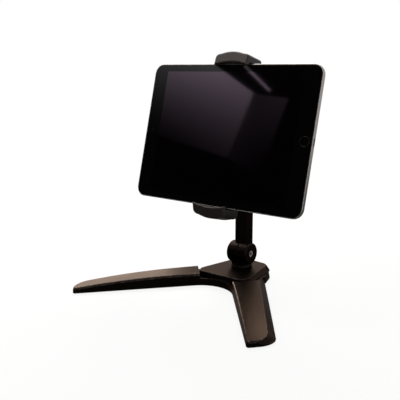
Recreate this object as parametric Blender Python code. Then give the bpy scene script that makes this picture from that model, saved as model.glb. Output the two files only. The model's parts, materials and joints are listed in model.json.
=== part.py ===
"""Desk prompter stand holding a tablet: V foot, swivelling folding arm and spring clamp.

Frame: metres, +Z up, origin on the swivel axis at table level, the screen faces -Y.
Screen frame: X along the tablet, Y up the tablet, Z out of the glass, origin on the glass.
"""
import math

import bmesh
import bpy
from mathutils import Vector

MM = 0.001

# Fits between pieces
CLEARANCE = 0.3 * MM
RUNNING_GAP = 0.6 * MM
OVERCUT = 20.0 * MM
WALL_OVERCUT = 3.0 * MM
ROUND_END_STEP = 0.03 * MM

# V foot, one casting
FOOT_LIFT = 0.8 * MM
V_HALF_ANGLE = math.radians(40.5)
V_CORNER_Y = -27.4 * MM
LEG_LENGTH = 194.4 * MM
LEG_ROOT_WIDTH = 44.9 * MM
LEG_TIP_WIDTH = 31.0 * MM
LEG_CREST = 15.9 * MM
LEG_CREST_AT = 57.0 * MM
LEG_DROP = 8.8 * MM
TIP_EDGE = 6.0 * MM
TIP_SLOPE = 1.6 * MM
TIP_SKEW = 0.18
TIP_BEVEL_SHARE = 0.45
TIP_INNER_RADIUS = 4.0 * MM
TIP_OUTER_RADIUS = 16.0 * MM
INNER_BEVEL = 1.8 * MM
OUTER_BEVEL = 8.5 * MM
OUTER_SHOULDER = 2.5 * MM
V_FILLET = 38.0 * MM
HEEL_RADIUS = 20.0 * MM
FAN_LENGTH = 36.0 * MM
BOSS_FLANK_X = 22.0 * MM
BOSS_FLANK_Y = -2.0 * MM
BOSS_FLANK_RADIUS = 15.0 * MM
BOSS_SIDE_X = 14.0 * MM
BOSS_SIDE_Y = 12.0 * MM
BOSS_SIDE_RADIUS = 18.0 * MM
BOSS_REAR_Y = 17.0 * MM
BOSS_REAR_RADIUS = 21.0 * MM
BOSS_SLOPE = 2.5 * MM
RECESS_FLOOR = 10.3 * MM
RECESS_REACH = 37.6 * MM
RECESS_SKEW = 0.125

# Dovetail between the foot and the mount block
TONGUE_FRONT = -47.0 * MM
TONGUE_BACK = -14.0 * MM
TONGUE_HALF_BASE = 8.0 * MM
TONGUE_HALF_TOP = 10.5 * MM
TONGUE_HEIGHT = 3.0 * MM
TONGUE_ROOT = 2.0 * MM

# Rubber feet
FOOT_THICKNESS = 1.5 * MM
HUB_FOOT_RADIUS = 16.0 * MM
LEG_FOOT_RADIUS = 9.0 * MM
LEG_FOOT_NEAR = 70.0 * MM
LEG_FOOT_FAR = 172.0 * MM

# Mount block: circles that its wall and its top ridge run round
BLOCK_TOP = 17.5 * MM
BLOCK_WALL_TOP = 11.3 * MM
WALL_FRONT_X = 23.8 * MM
WALL_FRONT_Y = -36.2 * MM
WALL_FRONT_RADIUS = 13.4 * MM
WALL_SIDE_X = 13.0 * MM
WALL_SIDE_Y = 13.0 * MM
WALL_SIDE_RADIUS = 18.0 * MM
WALL_REAR_Y = 18.0 * MM
WALL_REAR_RADIUS = 20.0 * MM
RIDGE_FRONT_X = 23.0 * MM
RIDGE_FRONT_Y = -36.3 * MM
RIDGE_FRONT_RADIUS = 13.0 * MM
RIDGE_SIDE_X = 13.0 * MM
RIDGE_SIDE_Y = 14.0 * MM
RIDGE_SIDE_RADIUS = 13.0 * MM
RIDGE_REAR_Y = 3.0 * MM
RIDGE_REAR_RADIUS = 25.2 * MM

# Swivel
SPIGOT_RADIUS = 6.0 * MM
SPIGOT_SEAT = 3.3 * MM
RETAINER_RADIUS = 9.5 * MM
RETAINER_THICKNESS = 1.2 * MM
SWIVEL_SCREW_RADIUS = 2.0 * MM
SWIVEL_HEAD_RADIUS = 4.5 * MM
SWIVEL_HEAD_HEIGHT = 1.2 * MM
SWIVEL_WASHER_RADIUS = 12.0 * MM
SWIVEL_WASHER_THICKNESS = 0.8 * MM
TURRET_RADIUS = 14.0 * MM
TURRET_THICKNESS = 2.3 * MM
TURRET_EDGE = 0.5 * MM
TURRET_NECK_HALF_DEPTH = 8.0 * MM
TURRET_NECK_OUT = 11.0 * MM

# Knuckles, the same at both ends of the arm
KNUCKLE_HEIGHT = 35.6 * MM
KNUCKLE_RADIUS = 14.0 * MM
KNUCKLE_HALF_WIDTH = 15.0 * MM
KNUCKLE_ROUND = 2.4 * MM
FRICTION_WASHER = 0.6 * MM
FRICTION_WASHER_RADIUS = 12.5 * MM
BOLT_RADIUS = 2.5 * MM
BOLT_HEAD_RADIUS = 4.4 * MM
BOLT_HEAD_HEIGHT = 4.0 * MM
BOLT_HEAD_EDGE = 0.5 * MM
BOLT_HEAD_SUNK = 0.9 * MM
BOLT_SOCKET_ACROSS = 4.0 * MM
BOLT_SOCKET_DEPTH = 2.4 * MM
NUT_ACROSS = 8.0 * MM
NUT_HEIGHT = 3.6 * MM
NUT_SUNK = 0.8 * MM

# Arm
ARM_REACH = 141.5 * MM
ARM_SIDE_SHIFT = 2.9 * MM
BAR_WIDTH = 22.6 * MM
BAR_DEPTH = 12.0 * MM
BAR_EDGE = 4.2 * MM

# Tilting head
SCREEN_LEAN = math.radians(14.8)
HEAD_REACH = 50.3 * MM
HEAD_DISC_RADIUS = 17.0 * MM
HEAD_DISC_THICKNESS = 4.0 * MM
HEAD_DISC_EDGE = 0.7 * MM
HEAD_NECK_OUT = 13.0 * MM
HEAD_NECK_HALF = 9.0 * MM
HEAD_NECK_SINK = 1.4 * MM
TURN_WASHER_RADIUS = 15.0 * MM
TURN_WASHER_THICKNESS = 0.8 * MM
SPINDLE_RADIUS = 3.0 * MM
SPINDLE_HEAD_RADIUS = 5.5 * MM
SPINDLE_HEAD_HEIGHT = 1.4 * MM
SPINDLE_NUT_ACROSS = 10.0 * MM
SPINDLE_NUT_HEIGHT = 3.0 * MM
SPINDLE_NUT_ROOM = 6.5 * MM
SPINDLE_ROOM_DEPTH = 6.0 * MM

# Tablet
TABLET_WIDTH = 240.0 * MM
TABLET_HEIGHT = 169.5 * MM
TABLET_THICKNESS = 7.5 * MM
TABLET_CORNER = 12.0 * MM
TABLET_BACK_ROUND = 3.2 * MM
TABLET_BACK_WALL = 1.1 * MM
TABLET_SIDE_WALL = 3.0 * MM
RIM_WIDTH = 0.8 * MM
RIM_SET_BACK = 0.25 * MM
GLASS_THICKNESS = 1.0 * MM
GLASS_EDGE = 0.25 * MM
DISPLAY_WIDTH = 200.0 * MM
DISPLAY_HEIGHT = 151.0 * MM
DISPLAY_THICKNESS = 1.8 * MM
DISPLAY_CORNER = 0.3 * MM
CELL_WIDTH = 84.0 * MM
CELL_HEIGHT = 140.0 * MM
CELL_THICKNESS = 2.0 * MM
CELL_OFFSET = 43.5 * MM
CELL_CORNER = 3.0 * MM
BOARD_WIDTH = 15.0 * MM
BOARD_HEIGHT = 140.0 * MM
BOARD_THICKNESS = 1.2 * MM
BOARD_X = -100.0 * MM
BOARD_CORNER = 1.5 * MM
HOME_X = 110.0 * MM
HOME_RADIUS = 5.6 * MM
HOME_SUNK = 0.2 * MM
HOME_DEPTH = 1.5 * MM
HOME_DISH = 0.2 * MM
HOME_DISH_RADIUS = 2.8 * MM
SWITCH_RADIUS = 4.0 * MM
SWITCH_THICKNESS = 3.6 * MM
KEY_WIDTH = 2.6 * MM
KEY_DEPTH = 3.6 * MM
KEY_PROUD = 0.55 * MM
POWER_KEY_LENGTH = 10.0 * MM
POWER_KEY_V = 62.0 * MM
VOLUME_KEY_LENGTH = 9.0 * MM
VOLUME_UP_X = -92.0 * MM
VOLUME_DOWN_X = -80.0 * MM
KEY_W = -3.9 * MM
PORT_LENGTH = 9.0 * MM
PORT_WIDTH = 2.8 * MM
JACK_RADIUS = 1.8 * MM
JACK_V = -66.0 * MM
LENS_RADIUS = 4.0 * MM
LENS_THICKNESS = 1.4 * MM
LENS_X = -107.0 * MM
LENS_V = 72.0 * MM

# Spring clamp
PAD_THICKNESS = 1.2 * MM
SLEEVE_WIDTH = 50.0 * MM
SLEEVE_EDGE = 4.5 * MM
SLEEVE_LOW = -45.0 * MM
SLEEVE_HIGH = 50.0 * MM
SLEEVE_FRONT_WALL = 2.6 * MM
SLEEVE_BACK_WALL = 3.4 * MM
SLIDE_WIDTH = 36.0 * MM
SLIDE_THICKNESS = 8.0 * MM
SLIDE_EDGE = 1.0 * MM
SLIDE_END = -20.0 * MM
SLOT_WIDTH = 8.0 * MM
SLOT_OFFSET = 9.5 * MM
SLOT_END = 24.0 * MM
SLOT_CORNER = 2.0 * MM
FIXED_END = -30.0 * MM
SPRING_RADIUS = 2.5 * MM
SPRING_WIRE = 0.8 * MM
SPRING_TURNS = 11
SPRING_STEPS = 7
JAW_HALF_WIDTH = 23.6 * MM
JAW_FRONT = 7.0 * MM
JAW_BACK = 24.0 * MM
JAW_RISE = 14.4 * MM
JAW_ARC_DROP = 2.6 * MM
JAW_ARC_HALF = 16.0 * MM
JAW_CORNER_DROP = 7.4 * MM
UPPER_JAW_LEAN = 0.15
LOWER_JAW_LEAN = 0.40
JAW_ROOT = 7.0 * MM
JAW_GRIP = 2.2 * MM
JAW_ARCH = 3.0 * MM
JAW_BEVEL = 1.4 * MM
LIP_GAP = 0.6 * MM
JAW_PAD_HALF = 19.0 * MM
BACK_PAD_WIDTH = 40.0 * MM
BACK_PAD_HEIGHT = 16.0 * MM
BACK_PAD_V = 34.0 * MM
BACK_PAD_CORNER = 3.2 * MM
JAW_SCREW_RADIUS = 2.0 * MM
JAW_SCREW_HEAD = 3.4 * MM
JAW_SCREW_HEAD_HEIGHT = 1.6 * MM
JAW_SCREW_REACH = 6.0 * MM
JAW_SCREW_X = 11.0 * MM
JAW_SCREW_V = -38.0 * MM

# Facets
ROUND_STEPS = 36
SMALL_STEPS = 24
HULL_STEPS = 64
ARC_STEPS = 5
EDGE_STEPS = 3
HUB_STEPS = 7
FAN_STEPS = 4
BODY_STEPS = 8
TIP_STEPS = 9
JAW_ARCH_STEPS = 8
JAW_CORNER_STEPS = 5
JAW_TOP_STEPS = 10
SMOOTH_ANGLE = math.radians(32)

# Depths below the glass that several pieces share
TABLET_BACK = -TABLET_THICKNESS
BACK_PAD_FRONT = TABLET_BACK - CLEARANCE
SLEEVE_FRONT = BACK_PAD_FRONT - PAD_THICKNESS - CLEARANCE
CHANNEL_FRONT = SLEEVE_FRONT - SLEEVE_FRONT_WALL
SLIDE_FRONT = CHANNEL_FRONT - CLEARANCE
SLIDE_BACK = SLIDE_FRONT - SLIDE_THICKNESS
CHANNEL_BACK = SLIDE_BACK - CLEARANCE
SLEEVE_BACK = CHANNEL_BACK - SLEEVE_BACK_WALL
TURN_WASHER_FRONT = SLEEVE_BACK - CLEARANCE
HEAD_DISC_FRONT = TURN_WASHER_FRONT - TURN_WASHER_THICKNESS - CLEARANCE
HEAD_DISC_BACK = HEAD_DISC_FRONT - HEAD_DISC_THICKNESS
GLASS_BACK = -GLASS_THICKNESS
DISPLAY_FRONT = GLASS_BACK - CLEARANCE
DISPLAY_BACK = DISPLAY_FRONT - DISPLAY_THICKNESS
CELL_FRONT = DISPLAY_BACK - CLEARANCE
TABLET_FLOOR = TABLET_BACK + TABLET_BACK_WALL
TABLET_EDGE = TABLET_HEIGHT / 2
PAD_SEAT = TABLET_EDGE + CLEARANCE + PAD_THICKNESS + CLEARANCE
FACE_GAP = FRICTION_WASHER / 2 + CLEARANCE

FINISHES = {
    "dark paint": ((0.030, 0.026, 0.024), 0.42, 0.6),
    "dark plastic": ((0.035, 0.034, 0.033), 0.5, 0.0),
    "rubber": ((0.015, 0.015, 0.015), 0.85, 0.0),
    "steel": ((0.55, 0.55, 0.56), 0.28, 1.0),
    "nylon": ((0.70, 0.68, 0.62), 0.6, 0.0),
    "grey_metal": ((0.26, 0.25, 0.245), 0.35, 0.9),
    "glass": ((0.008, 0.008, 0.010), 0.08, 0.0),
    "panel": ((0.02, 0.02, 0.025), 0.3, 0.0),
    "cell": ((0.10, 0.10, 0.11), 0.5, 0.2),
    "board": ((0.02, 0.10, 0.06), 0.5, 0.0),
}


def clear_scene():
    """Start from an empty file."""
    for item in list(bpy.data.objects):
        bpy.data.objects.remove(item, do_unlink=True)


def make_material(name, finish):
    """One Principled material per piece."""
    color, roughness, metallic = FINISHES[finish]
    material = bpy.data.materials.new(name)
    material.use_nodes = True
    shader = material.node_tree.nodes["Principled BSDF"]
    shader.inputs["Base Color"].default_value = (*color, 1.0)
    shader.inputs["Roughness"].default_value = roughness
    shader.inputs["Metallic"].default_value = metallic
    return material


def frame(name, location, lean=0.0, parent=None):
    """An empty on a joint axis, which carries every piece of one body."""
    empty = bpy.data.objects.new(name, None)
    bpy.context.collection.objects.link(empty)
    empty.location = location
    empty.rotation_euler = (lean, 0.0, 0.0)
    empty.parent = parent
    return empty


def add_object(name, mesh, parent):
    """Link a mesh as an object under its frame."""
    item = bpy.data.objects.new(name, mesh)
    bpy.context.collection.objects.link(item)
    item.parent = parent
    return item


def solid(name, bm, finish, parent):
    """A named piece with its own material, smooth where it is round."""
    bmesh.ops.recalc_face_normals(bm, faces=bm.faces)
    mesh = bpy.data.meshes.new(name)
    bm.to_mesh(mesh)
    bm.free()
    mesh.shade_smooth()
    mesh.set_sharp_from_angle(angle=SMOOTH_ANGLE)
    mesh.materials.append(make_material(name, finish))
    return add_object(name, mesh, parent)


def tool(name, bm, parent):
    """A shape that cuts or joins a piece and is not a piece itself."""
    bmesh.ops.recalc_face_normals(bm, faces=bm.faces)
    mesh = bpy.data.meshes.new(name)
    bm.to_mesh(mesh)
    bm.free()
    item = add_object(name, mesh, parent)
    item.hide_render = True
    item.display_type = "WIRE"
    return item


def combine(piece, other, operation):
    """Boolean with another shape."""
    step = piece.modifiers.new(other.name, "BOOLEAN")
    step.operation = operation
    step.solver = "EXACT"
    step.object = other


def carve(piece, other):
    """Take a shape away from a piece."""
    combine(piece, other, "DIFFERENCE")


def join(piece, other):
    """Add a shape to a piece."""
    combine(piece, other, "UNION")


def loft(rings, looped=False, open_start=False):
    """Skin a row of rings, closed by end faces or looped back to the first ring."""
    bm = bmesh.new()
    loops = []
    for ring in rings:
        loops.append([bm.verts.new(point) for point in ring])
    pairs = list(zip(loops, loops[1:]))
    if looped:
        pairs.append((loops[-1], loops[0]))
    for low, high in pairs:
        count = len(low)
        for i in range(count):
            j = (i + 1) % count
            bm.faces.new((low[i], low[j], high[j], high[i]))
    if not looped:
        if not open_start:
            bm.faces.new(loops[0])
        bm.faces.new(loops[-1])
    return bm


def prism(outline, low, high, axis="Z"):
    """An outline run straight along an axis."""
    return loft([place(outline, low, axis), place(outline, high, axis)])


def place(outline, along, axis="Z"):
    """Flat outline points put at a distance along an axis."""
    if axis == "X":
        return [(along, a, b) for a, b in outline]
    if axis == "Y":
        return [(a, along, b) for a, b in outline]
    return [(a, b, along) for a, b in outline]


def circle(radius, steps, centre=(0.0, 0.0)):
    """Points round a circle."""
    points = []
    for i in range(steps):
        turn = 2 * math.pi * i / steps
        points.append((centre[0] + radius * math.cos(turn), centre[1] + radius * math.sin(turn)))
    return points


def hexagon(across, steps, centre=(0.0, 0.0)):
    """Points round a hexagon, as many as on the circle it goes with."""
    points = []
    for i in range(steps):
        turn = 2 * math.pi * i / steps
        off = math.fmod(turn, math.pi / 3) - math.pi / 6
        radius = across / 2 / math.cos(off)
        points.append((centre[0] + radius * math.cos(turn), centre[1] + radius * math.sin(turn)))
    return points


def turned(profile, axis="Z", centre=(0.0, 0.0), steps=ROUND_STEPS):
    """A round solid from (radius, distance along the axis) pairs."""
    return loft([place(circle(radius, steps, centre), along, axis) for radius, along in profile])


def washer(outer, inner, low, high, axis="Z", centre=(0.0, 0.0), steps=ROUND_STEPS):
    """A flat ring."""
    outside = circle(outer, steps, centre)
    inside = circle(inner, steps, centre)
    return ring_solid(outside, inside, low, high, axis)


def ring_solid(outside, inside, low, high, axis="Z"):
    """A solid with a straight hole: outline, hole and the two end planes."""
    rings = [place(outside, low, axis), place(outside, high, axis)]
    rings += [place(inside, high, axis), place(inside, low, axis)]
    return loft(rings, looped=True)


def arc(centre, radius, start, end, steps):
    """Points along an arc between two angles."""
    points = []
    for i in range(steps + 1):
        turn = start + (end - start) * i / steps
        points.append((centre[0] + radius * math.cos(turn), centre[1] + radius * math.sin(turn)))
    return points


def rounded_box(half_width, half_height, radius, centre=(0.0, 0.0), steps=ARC_STEPS):
    """A rectangle with rounded corners."""
    points = []
    for quarter, (side, up) in enumerate(((1, 1), (-1, 1), (-1, -1), (1, -1))):
        x = centre[0] + side * (half_width - radius)
        y = centre[1] + up * (half_height - radius)
        start = quarter * math.pi / 2
        points += arc((x, y), radius, start, start + math.pi / 2, steps)
    return points


def hull(circles):
    """Outline drawn tight round circles, with the same number of points for any circles."""
    points = []
    for i in range(HULL_STEPS):
        turn = 2 * math.pi * i / HULL_STEPS
        way = Vector((math.cos(turn), math.sin(turn)))
        x, y, radius = max(circles, key=lambda c: way.x * c[0] + way.y * c[1] + c[2])
        points.append((x + radius * way.x, y + radius * way.y))
    return points


def both_sides(x, y, radius):
    """A circle and its mirror image."""
    return [(x, y, radius), (-x, y, radius)]


def slot_outline(half_length, half_width, centre):
    """A long hole with round ends."""
    return rounded_box(half_length, half_width, half_width - ROUND_END_STEP, centre)


# V foot

OUTER_TURN = V_HALF_ANGLE - math.atan((LEG_ROOT_WIDTH - LEG_TIP_WIDTH) / LEG_LENGTH)
OUTER_NORMAL = Vector((math.cos(OUTER_TURN), math.sin(OUTER_TURN)))


def on_leg(along, across):
    """Plan point at a distance along the right leg's inner edge and out from it."""
    x = along * math.sin(V_HALF_ANGLE) + across * math.cos(V_HALF_ANGLE)
    y = V_CORNER_Y - along * math.cos(V_HALF_ANGLE) + across * math.sin(V_HALF_ANGLE)
    return Vector((x, y))


OUTER_REACH = OUTER_NORMAL.dot(on_leg(0.0, LEG_ROOT_WIDTH))
HEEL_CENTRE = (0.0, (OUTER_REACH - HEEL_RADIUS) / OUTER_NORMAL.y)
FILLET_CENTRE = (0.0, V_CORNER_Y - V_FILLET / math.sin(V_HALF_ANGLE))
FILLET_END = V_FILLET / math.tan(V_HALF_ANGLE)


def leg_top(along):
    """Height of the leg's top: level, then arching down, then the steep slope at the tip."""
    past = max(0.0, along - LEG_CREST_AT)
    arch = LEG_CREST - LEG_DROP * (past / (LEG_LENGTH - LEG_CREST_AT)) ** 2
    slope_start = LEG_LENGTH - TIP_SLOPE
    if along <= slope_start:
        return arch
    share = (along - slope_start) / TIP_SLOPE
    start = leg_top(slope_start)
    return start + (TIP_EDGE - start) * share


def corner_cut(along, radius):
    """How far a rounded tip corner has drawn in at a distance along the leg."""
    into = along - (LEG_LENGTH - radius)
    if into <= 0.0:
        return 0.0
    return radius - math.sqrt(max(0.0, radius * radius - into * into))


def leg_section(inner_along, outer_along):
    """Section ring of the right leg between a point of its inner and of its outer edge."""
    taper = (LEG_TIP_WIDTH - LEG_ROOT_WIDTH) / LEG_LENGTH
    inner = corner_cut(inner_along, TIP_INNER_RADIUS)
    outer = LEG_ROOT_WIDTH + taper * outer_along - corner_cut(outer_along, TIP_OUTER_RADIUS)
    bevel = min(OUTER_BEVEL, TIP_BEVEL_SHARE * (outer - inner))
    skew = TIP_SKEW * max(0.0, outer_along / LEG_LENGTH) ** 4

    def at(along, across, height):
        spot = on_leg(along - skew * across, across)
        return (spot.x, spot.y, height)

    low_top = leg_top(inner_along)
    high_top = leg_top(outer_along)
    return [
        at(inner_along, inner, FOOT_LIFT),
        at(inner_along, inner, low_top - INNER_BEVEL),
        at(inner_along, inner + INNER_BEVEL, low_top),
        at(outer_along, outer - bevel, high_top),
        at(outer_along, outer, OUTER_SHOULDER),
        at(outer_along, outer, FOOT_LIFT),
    ]


def hub_section(share):
    """Section ring of the right half of the hub, fanning from the middle to the leg."""
    inner_turn = math.pi / 2 + (V_HALF_ANGLE - math.pi / 2) * share
    outer_turn = math.pi / 2 + (OUTER_TURN - math.pi / 2) * share

    def at(centre, radius, turn, height):
        return (centre[0] + radius * math.cos(turn), centre[1] + radius * math.sin(turn), height)

    return [
        at(FILLET_CENTRE, V_FILLET, inner_turn, FOOT_LIFT),
        at(FILLET_CENTRE, V_FILLET, inner_turn, LEG_CREST - INNER_BEVEL),
        at(FILLET_CENTRE, V_FILLET + INNER_BEVEL, inner_turn, LEG_CREST),
        at(HEEL_CENTRE, HEEL_RADIUS - OUTER_BEVEL, outer_turn, LEG_CREST),
        at(HEEL_CENTRE, HEEL_RADIUS, outer_turn, OUTER_SHOULDER),
        at(HEEL_CENTRE, HEEL_RADIUS, outer_turn, FOOT_LIFT),
    ]


def leg_stations():
    """Distances along the right leg of its sections, inner edge and outer edge."""
    heel_end = Vector(HEEL_CENTRE) + OUTER_NORMAL * HEEL_RADIUS
    leg_line = Vector((math.sin(V_HALF_ANGLE), -math.cos(V_HALF_ANGLE)))
    heel_along = (heel_end - Vector((0.0, V_CORNER_Y))).dot(leg_line)
    lag = FILLET_END - heel_along
    pairs = []
    for i in range(1, FAN_STEPS + 1):
        share = i / FAN_STEPS
        inner = FILLET_END + FAN_LENGTH * share
        pairs.append((inner, inner - lag * (1.0 - share)))
    body_start = FILLET_END + FAN_LENGTH
    body_end = LEG_LENGTH - TIP_OUTER_RADIUS
    for i in range(1, BODY_STEPS + 1):
        along = body_start + (body_end - body_start) * i / BODY_STEPS
        pairs.append((along, along))
    for i in range(1, TIP_STEPS + 1):
        along = body_end + TIP_OUTER_RADIUS * math.sin(math.pi / 2 * i / TIP_STEPS)
        pairs.append((along, along))
    return pairs


def build_foot(parent):
    """V casting with its recess, dovetail tongue and the seats of the rubber feet."""
    rings = [hub_section(i / HUB_STEPS) for i in range(HUB_STEPS + 1)]
    rings += [leg_section(inner, outer) for inner, outer in leg_stations()]
    foot = solid("v_foot", loft(rings, open_start=True), "dark paint", parent)
    mirror = foot.modifiers.new("other leg", "MIRROR")
    mirror.use_axis = (True, False, False)
    mirror.use_mirror_merge = True
    mirror.merge_threshold = 0.01 * MM

    rings = [place(boss_outline(0.0), FOOT_LIFT), place(boss_outline(0.0), OUTER_SHOULDER)]
    rings.append(place(boss_outline(BOSS_SLOPE), LEG_CREST))
    join(foot, tool("boss", loft(rings), parent))
    inside = -OVERCUT
    outside = LEG_ROOT_WIDTH + OVERCUT
    near = on_leg(RECESS_REACH - RECESS_SKEW * inside, inside)
    far = on_leg(RECESS_REACH - RECESS_SKEW * outside, outside)
    back = WALL_REAR_Y + WALL_REAR_RADIUS + OVERCUT
    recess = [(near.x, near.y), (far.x, far.y), (far.x, back)]
    recess += [(-x, y) for x, y in reversed(recess)]
    carve(foot, tool("recess", prism(recess, RECESS_FLOOR, LEG_CREST + OVERCUT), parent))
    join(foot, tool("tongue", dovetail(-TONGUE_ROOT, 0.0, TONGUE_FRONT, TONGUE_BACK), parent))

    seat_top = FOOT_THICKNESS + CLEARANCE
    for name, spot, radius in foot_spots():
        seat = turned([(radius + CLEARANCE, -FOOT_LIFT), (radius + CLEARANCE, seat_top)],
                      centre=spot, steps=SMALL_STEPS)
        carve(foot, tool(name + "_seat", seat, parent))
        pad = turned([(radius - CLEARANCE, 0.0), (radius, CLEARANCE), (radius, FOOT_THICKNESS)],
                     centre=spot, steps=SMALL_STEPS)
        solid(name, pad, "rubber", parent)
    return foot


def boss_outline(inset):
    """Outline of the hub's boss, drawn in by a width."""
    circles = both_sides(BOSS_FLANK_X, BOSS_FLANK_Y, BOSS_FLANK_RADIUS - inset)
    circles += both_sides(BOSS_SIDE_X, BOSS_SIDE_Y, BOSS_SIDE_RADIUS - inset)
    circles.append((0.0, BOSS_REAR_Y, BOSS_REAR_RADIUS - inset))
    return hull(circles)


def dovetail(below, grown, front, back):
    """Dovetail bar on the recess floor, grown all round for the slot it slides in."""
    low = RECESS_FLOOR + below
    high = RECESS_FLOOR + TONGUE_HEIGHT + grown
    half_low = TONGUE_HALF_BASE + grown
    half_high = TONGUE_HALF_TOP + grown
    outline = [(-half_low, low), (half_low, low), (half_high, high), (-half_high, high)]
    return prism(outline, front, back, "Y")


def foot_spots():
    """Name, place and radius of each rubber foot."""
    middle = (LEG_ROOT_WIDTH + LEG_TIP_WIDTH) / 4
    near = on_leg(LEG_FOOT_NEAR, middle)
    far = on_leg(LEG_FOOT_FAR, LEG_TIP_WIDTH / 2)
    spots = [("hub_foot", (0.0, 0.0), HUB_FOOT_RADIUS)]
    for side, sign in (("right", 1.0), ("left", -1.0)):
        spots.append((side + "_near_foot", (sign * near.x, near.y), LEG_FOOT_RADIUS))
        spots.append((side + "_tip_foot", (sign * far.x, far.y), LEG_FOOT_RADIUS))
    return spots


# Mount block

def build_block(parent):
    """Shield-shaped block that slides on to the foot from behind."""
    wall_circles = both_sides(WALL_FRONT_X, WALL_FRONT_Y, WALL_FRONT_RADIUS)
    wall_circles += both_sides(WALL_SIDE_X, WALL_SIDE_Y, WALL_SIDE_RADIUS)
    wall_circles.append((0.0, WALL_REAR_Y, WALL_REAR_RADIUS))
    ridge_circles = both_sides(RIDGE_FRONT_X, RIDGE_FRONT_Y, RIDGE_FRONT_RADIUS)
    ridge_circles += both_sides(RIDGE_SIDE_X, RIDGE_SIDE_Y, RIDGE_SIDE_RADIUS)
    ridge_circles.append((0.0, RIDGE_REAR_Y, RIDGE_REAR_RADIUS))
    wall = hull(wall_circles)
    low = RECESS_FLOOR + CLEARANCE
    rings = [place(wall, low), place(wall, BLOCK_WALL_TOP), place(hull(ridge_circles), BLOCK_TOP)]
    block = solid("mount_block", loft(rings), "dark paint", parent)

    front = WALL_FRONT_Y - WALL_FRONT_RADIUS - OVERCUT
    slot = dovetail(-TONGUE_ROOT, CLEARANCE, front, TONGUE_BACK + CLEARANCE)
    carve(block, tool("tongue_slot", slot, parent))
    bore = turned([(SPIGOT_RADIUS + CLEARANCE, 0.0), (SPIGOT_RADIUS + CLEARANCE, BLOCK_TOP + OVERCUT)])
    carve(block, tool("spigot_bore", bore, parent))
    seat = BLOCK_TOP - SPIGOT_SEAT
    pocket = turned([(RETAINER_RADIUS + CLEARANCE, 0.0), (RETAINER_RADIUS + CLEARANCE, seat)])
    carve(block, tool("retainer_pocket", pocket, parent))
    return block


# Turret, with heights measured from the block's top

PIVOT_UP = KNUCKLE_HEIGHT - BLOCK_TOP
TURRET_BOTTOM = CLEARANCE + SWIVEL_WASHER_THICKNESS + CLEARANCE
TURRET_TOP = TURRET_BOTTOM + TURRET_THICKNESS


def ear(pivot_up, parent, name):
    """Left half of a knuckle barrel, round its axis, rounded at the outer end."""
    outer = -KNUCKLE_HALF_WIDTH
    profile = [(KNUCKLE_RADIUS - KNUCKLE_ROUND, outer)]
    for i in range(1, EDGE_STEPS + 1):
        turn = math.pi / 2 * i / EDGE_STEPS
        radius = KNUCKLE_RADIUS - KNUCKLE_ROUND * (1.0 - math.sin(turn))
        profile.append((radius, outer + KNUCKLE_ROUND * (1.0 - math.cos(turn))))
    profile.append((KNUCKLE_RADIUS, -FACE_GAP))
    return tool(name, turned(profile, "X", (0.0, pivot_up)), parent)


def cut_bolt_side(piece, pivot_up, parent, name):
    """Bolt bore and nut pocket of the left half of a knuckle."""
    reach = KNUCKLE_HALF_WIDTH + OVERCUT
    bore = [(BOLT_RADIUS + CLEARANCE, -reach), (BOLT_RADIUS + CLEARANCE, reach)]
    carve(piece, tool(name + "_bore", turned(bore, "X", (0.0, pivot_up), SMALL_STEPS), parent))
    pocket = hexagon(NUT_ACROSS + 2 * CLEARANCE, SMALL_STEPS, (0.0, pivot_up))
    inner = -KNUCKLE_HALF_WIDTH + NUT_SUNK + NUT_HEIGHT + CLEARANCE
    carve(piece, tool(name + "_nut_pocket", prism(pocket, -reach, inner, "X"), parent))


def add_knuckle_hardware(pivot_up, parent, name):
    """Bolt, nut and friction washer of one knuckle."""
    centre = (0.0, pivot_up)
    head_end = KNUCKLE_HALF_WIDTH - BOLT_HEAD_SUNK
    head_seat = head_end - BOLT_HEAD_HEIGHT
    nut_low = -KNUCKLE_HALF_WIDTH + NUT_SUNK
    nut_high = nut_low + NUT_HEIGHT
    soft = BOLT_HEAD_EDGE
    profile = [(BOLT_RADIUS, nut_low + CLEARANCE), (BOLT_RADIUS, head_seat)]
    profile += [(BOLT_HEAD_RADIUS, head_seat), (BOLT_HEAD_RADIUS, head_end - soft)]
    profile.append((BOLT_HEAD_RADIUS - soft, head_end))
    bolt = solid(name + "_bolt", turned(profile, "X", centre, SMALL_STEPS), "steel", parent)
    socket = prism(hexagon(BOLT_SOCKET_ACROSS, SMALL_STEPS, centre),
                   head_end - BOLT_SOCKET_DEPTH, head_end + OVERCUT, "X")
    carve(bolt, tool(name + "_socket", socket, parent))
    outside = hexagon(NUT_ACROSS, SMALL_STEPS, centre)
    inside = circle(BOLT_RADIUS + CLEARANCE, SMALL_STEPS, centre)
    solid(name + "_nut", ring_solid(outside, inside, nut_low, nut_high, "X"), "steel", parent)
    half = FRICTION_WASHER / 2
    hole = BOLT_RADIUS + CLEARANCE
    ring = washer(FRICTION_WASHER_RADIUS, hole, -half, half, "X", centre, SMALL_STEPS)
    solid(name + "_friction_washer", ring, "nylon", parent)


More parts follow.
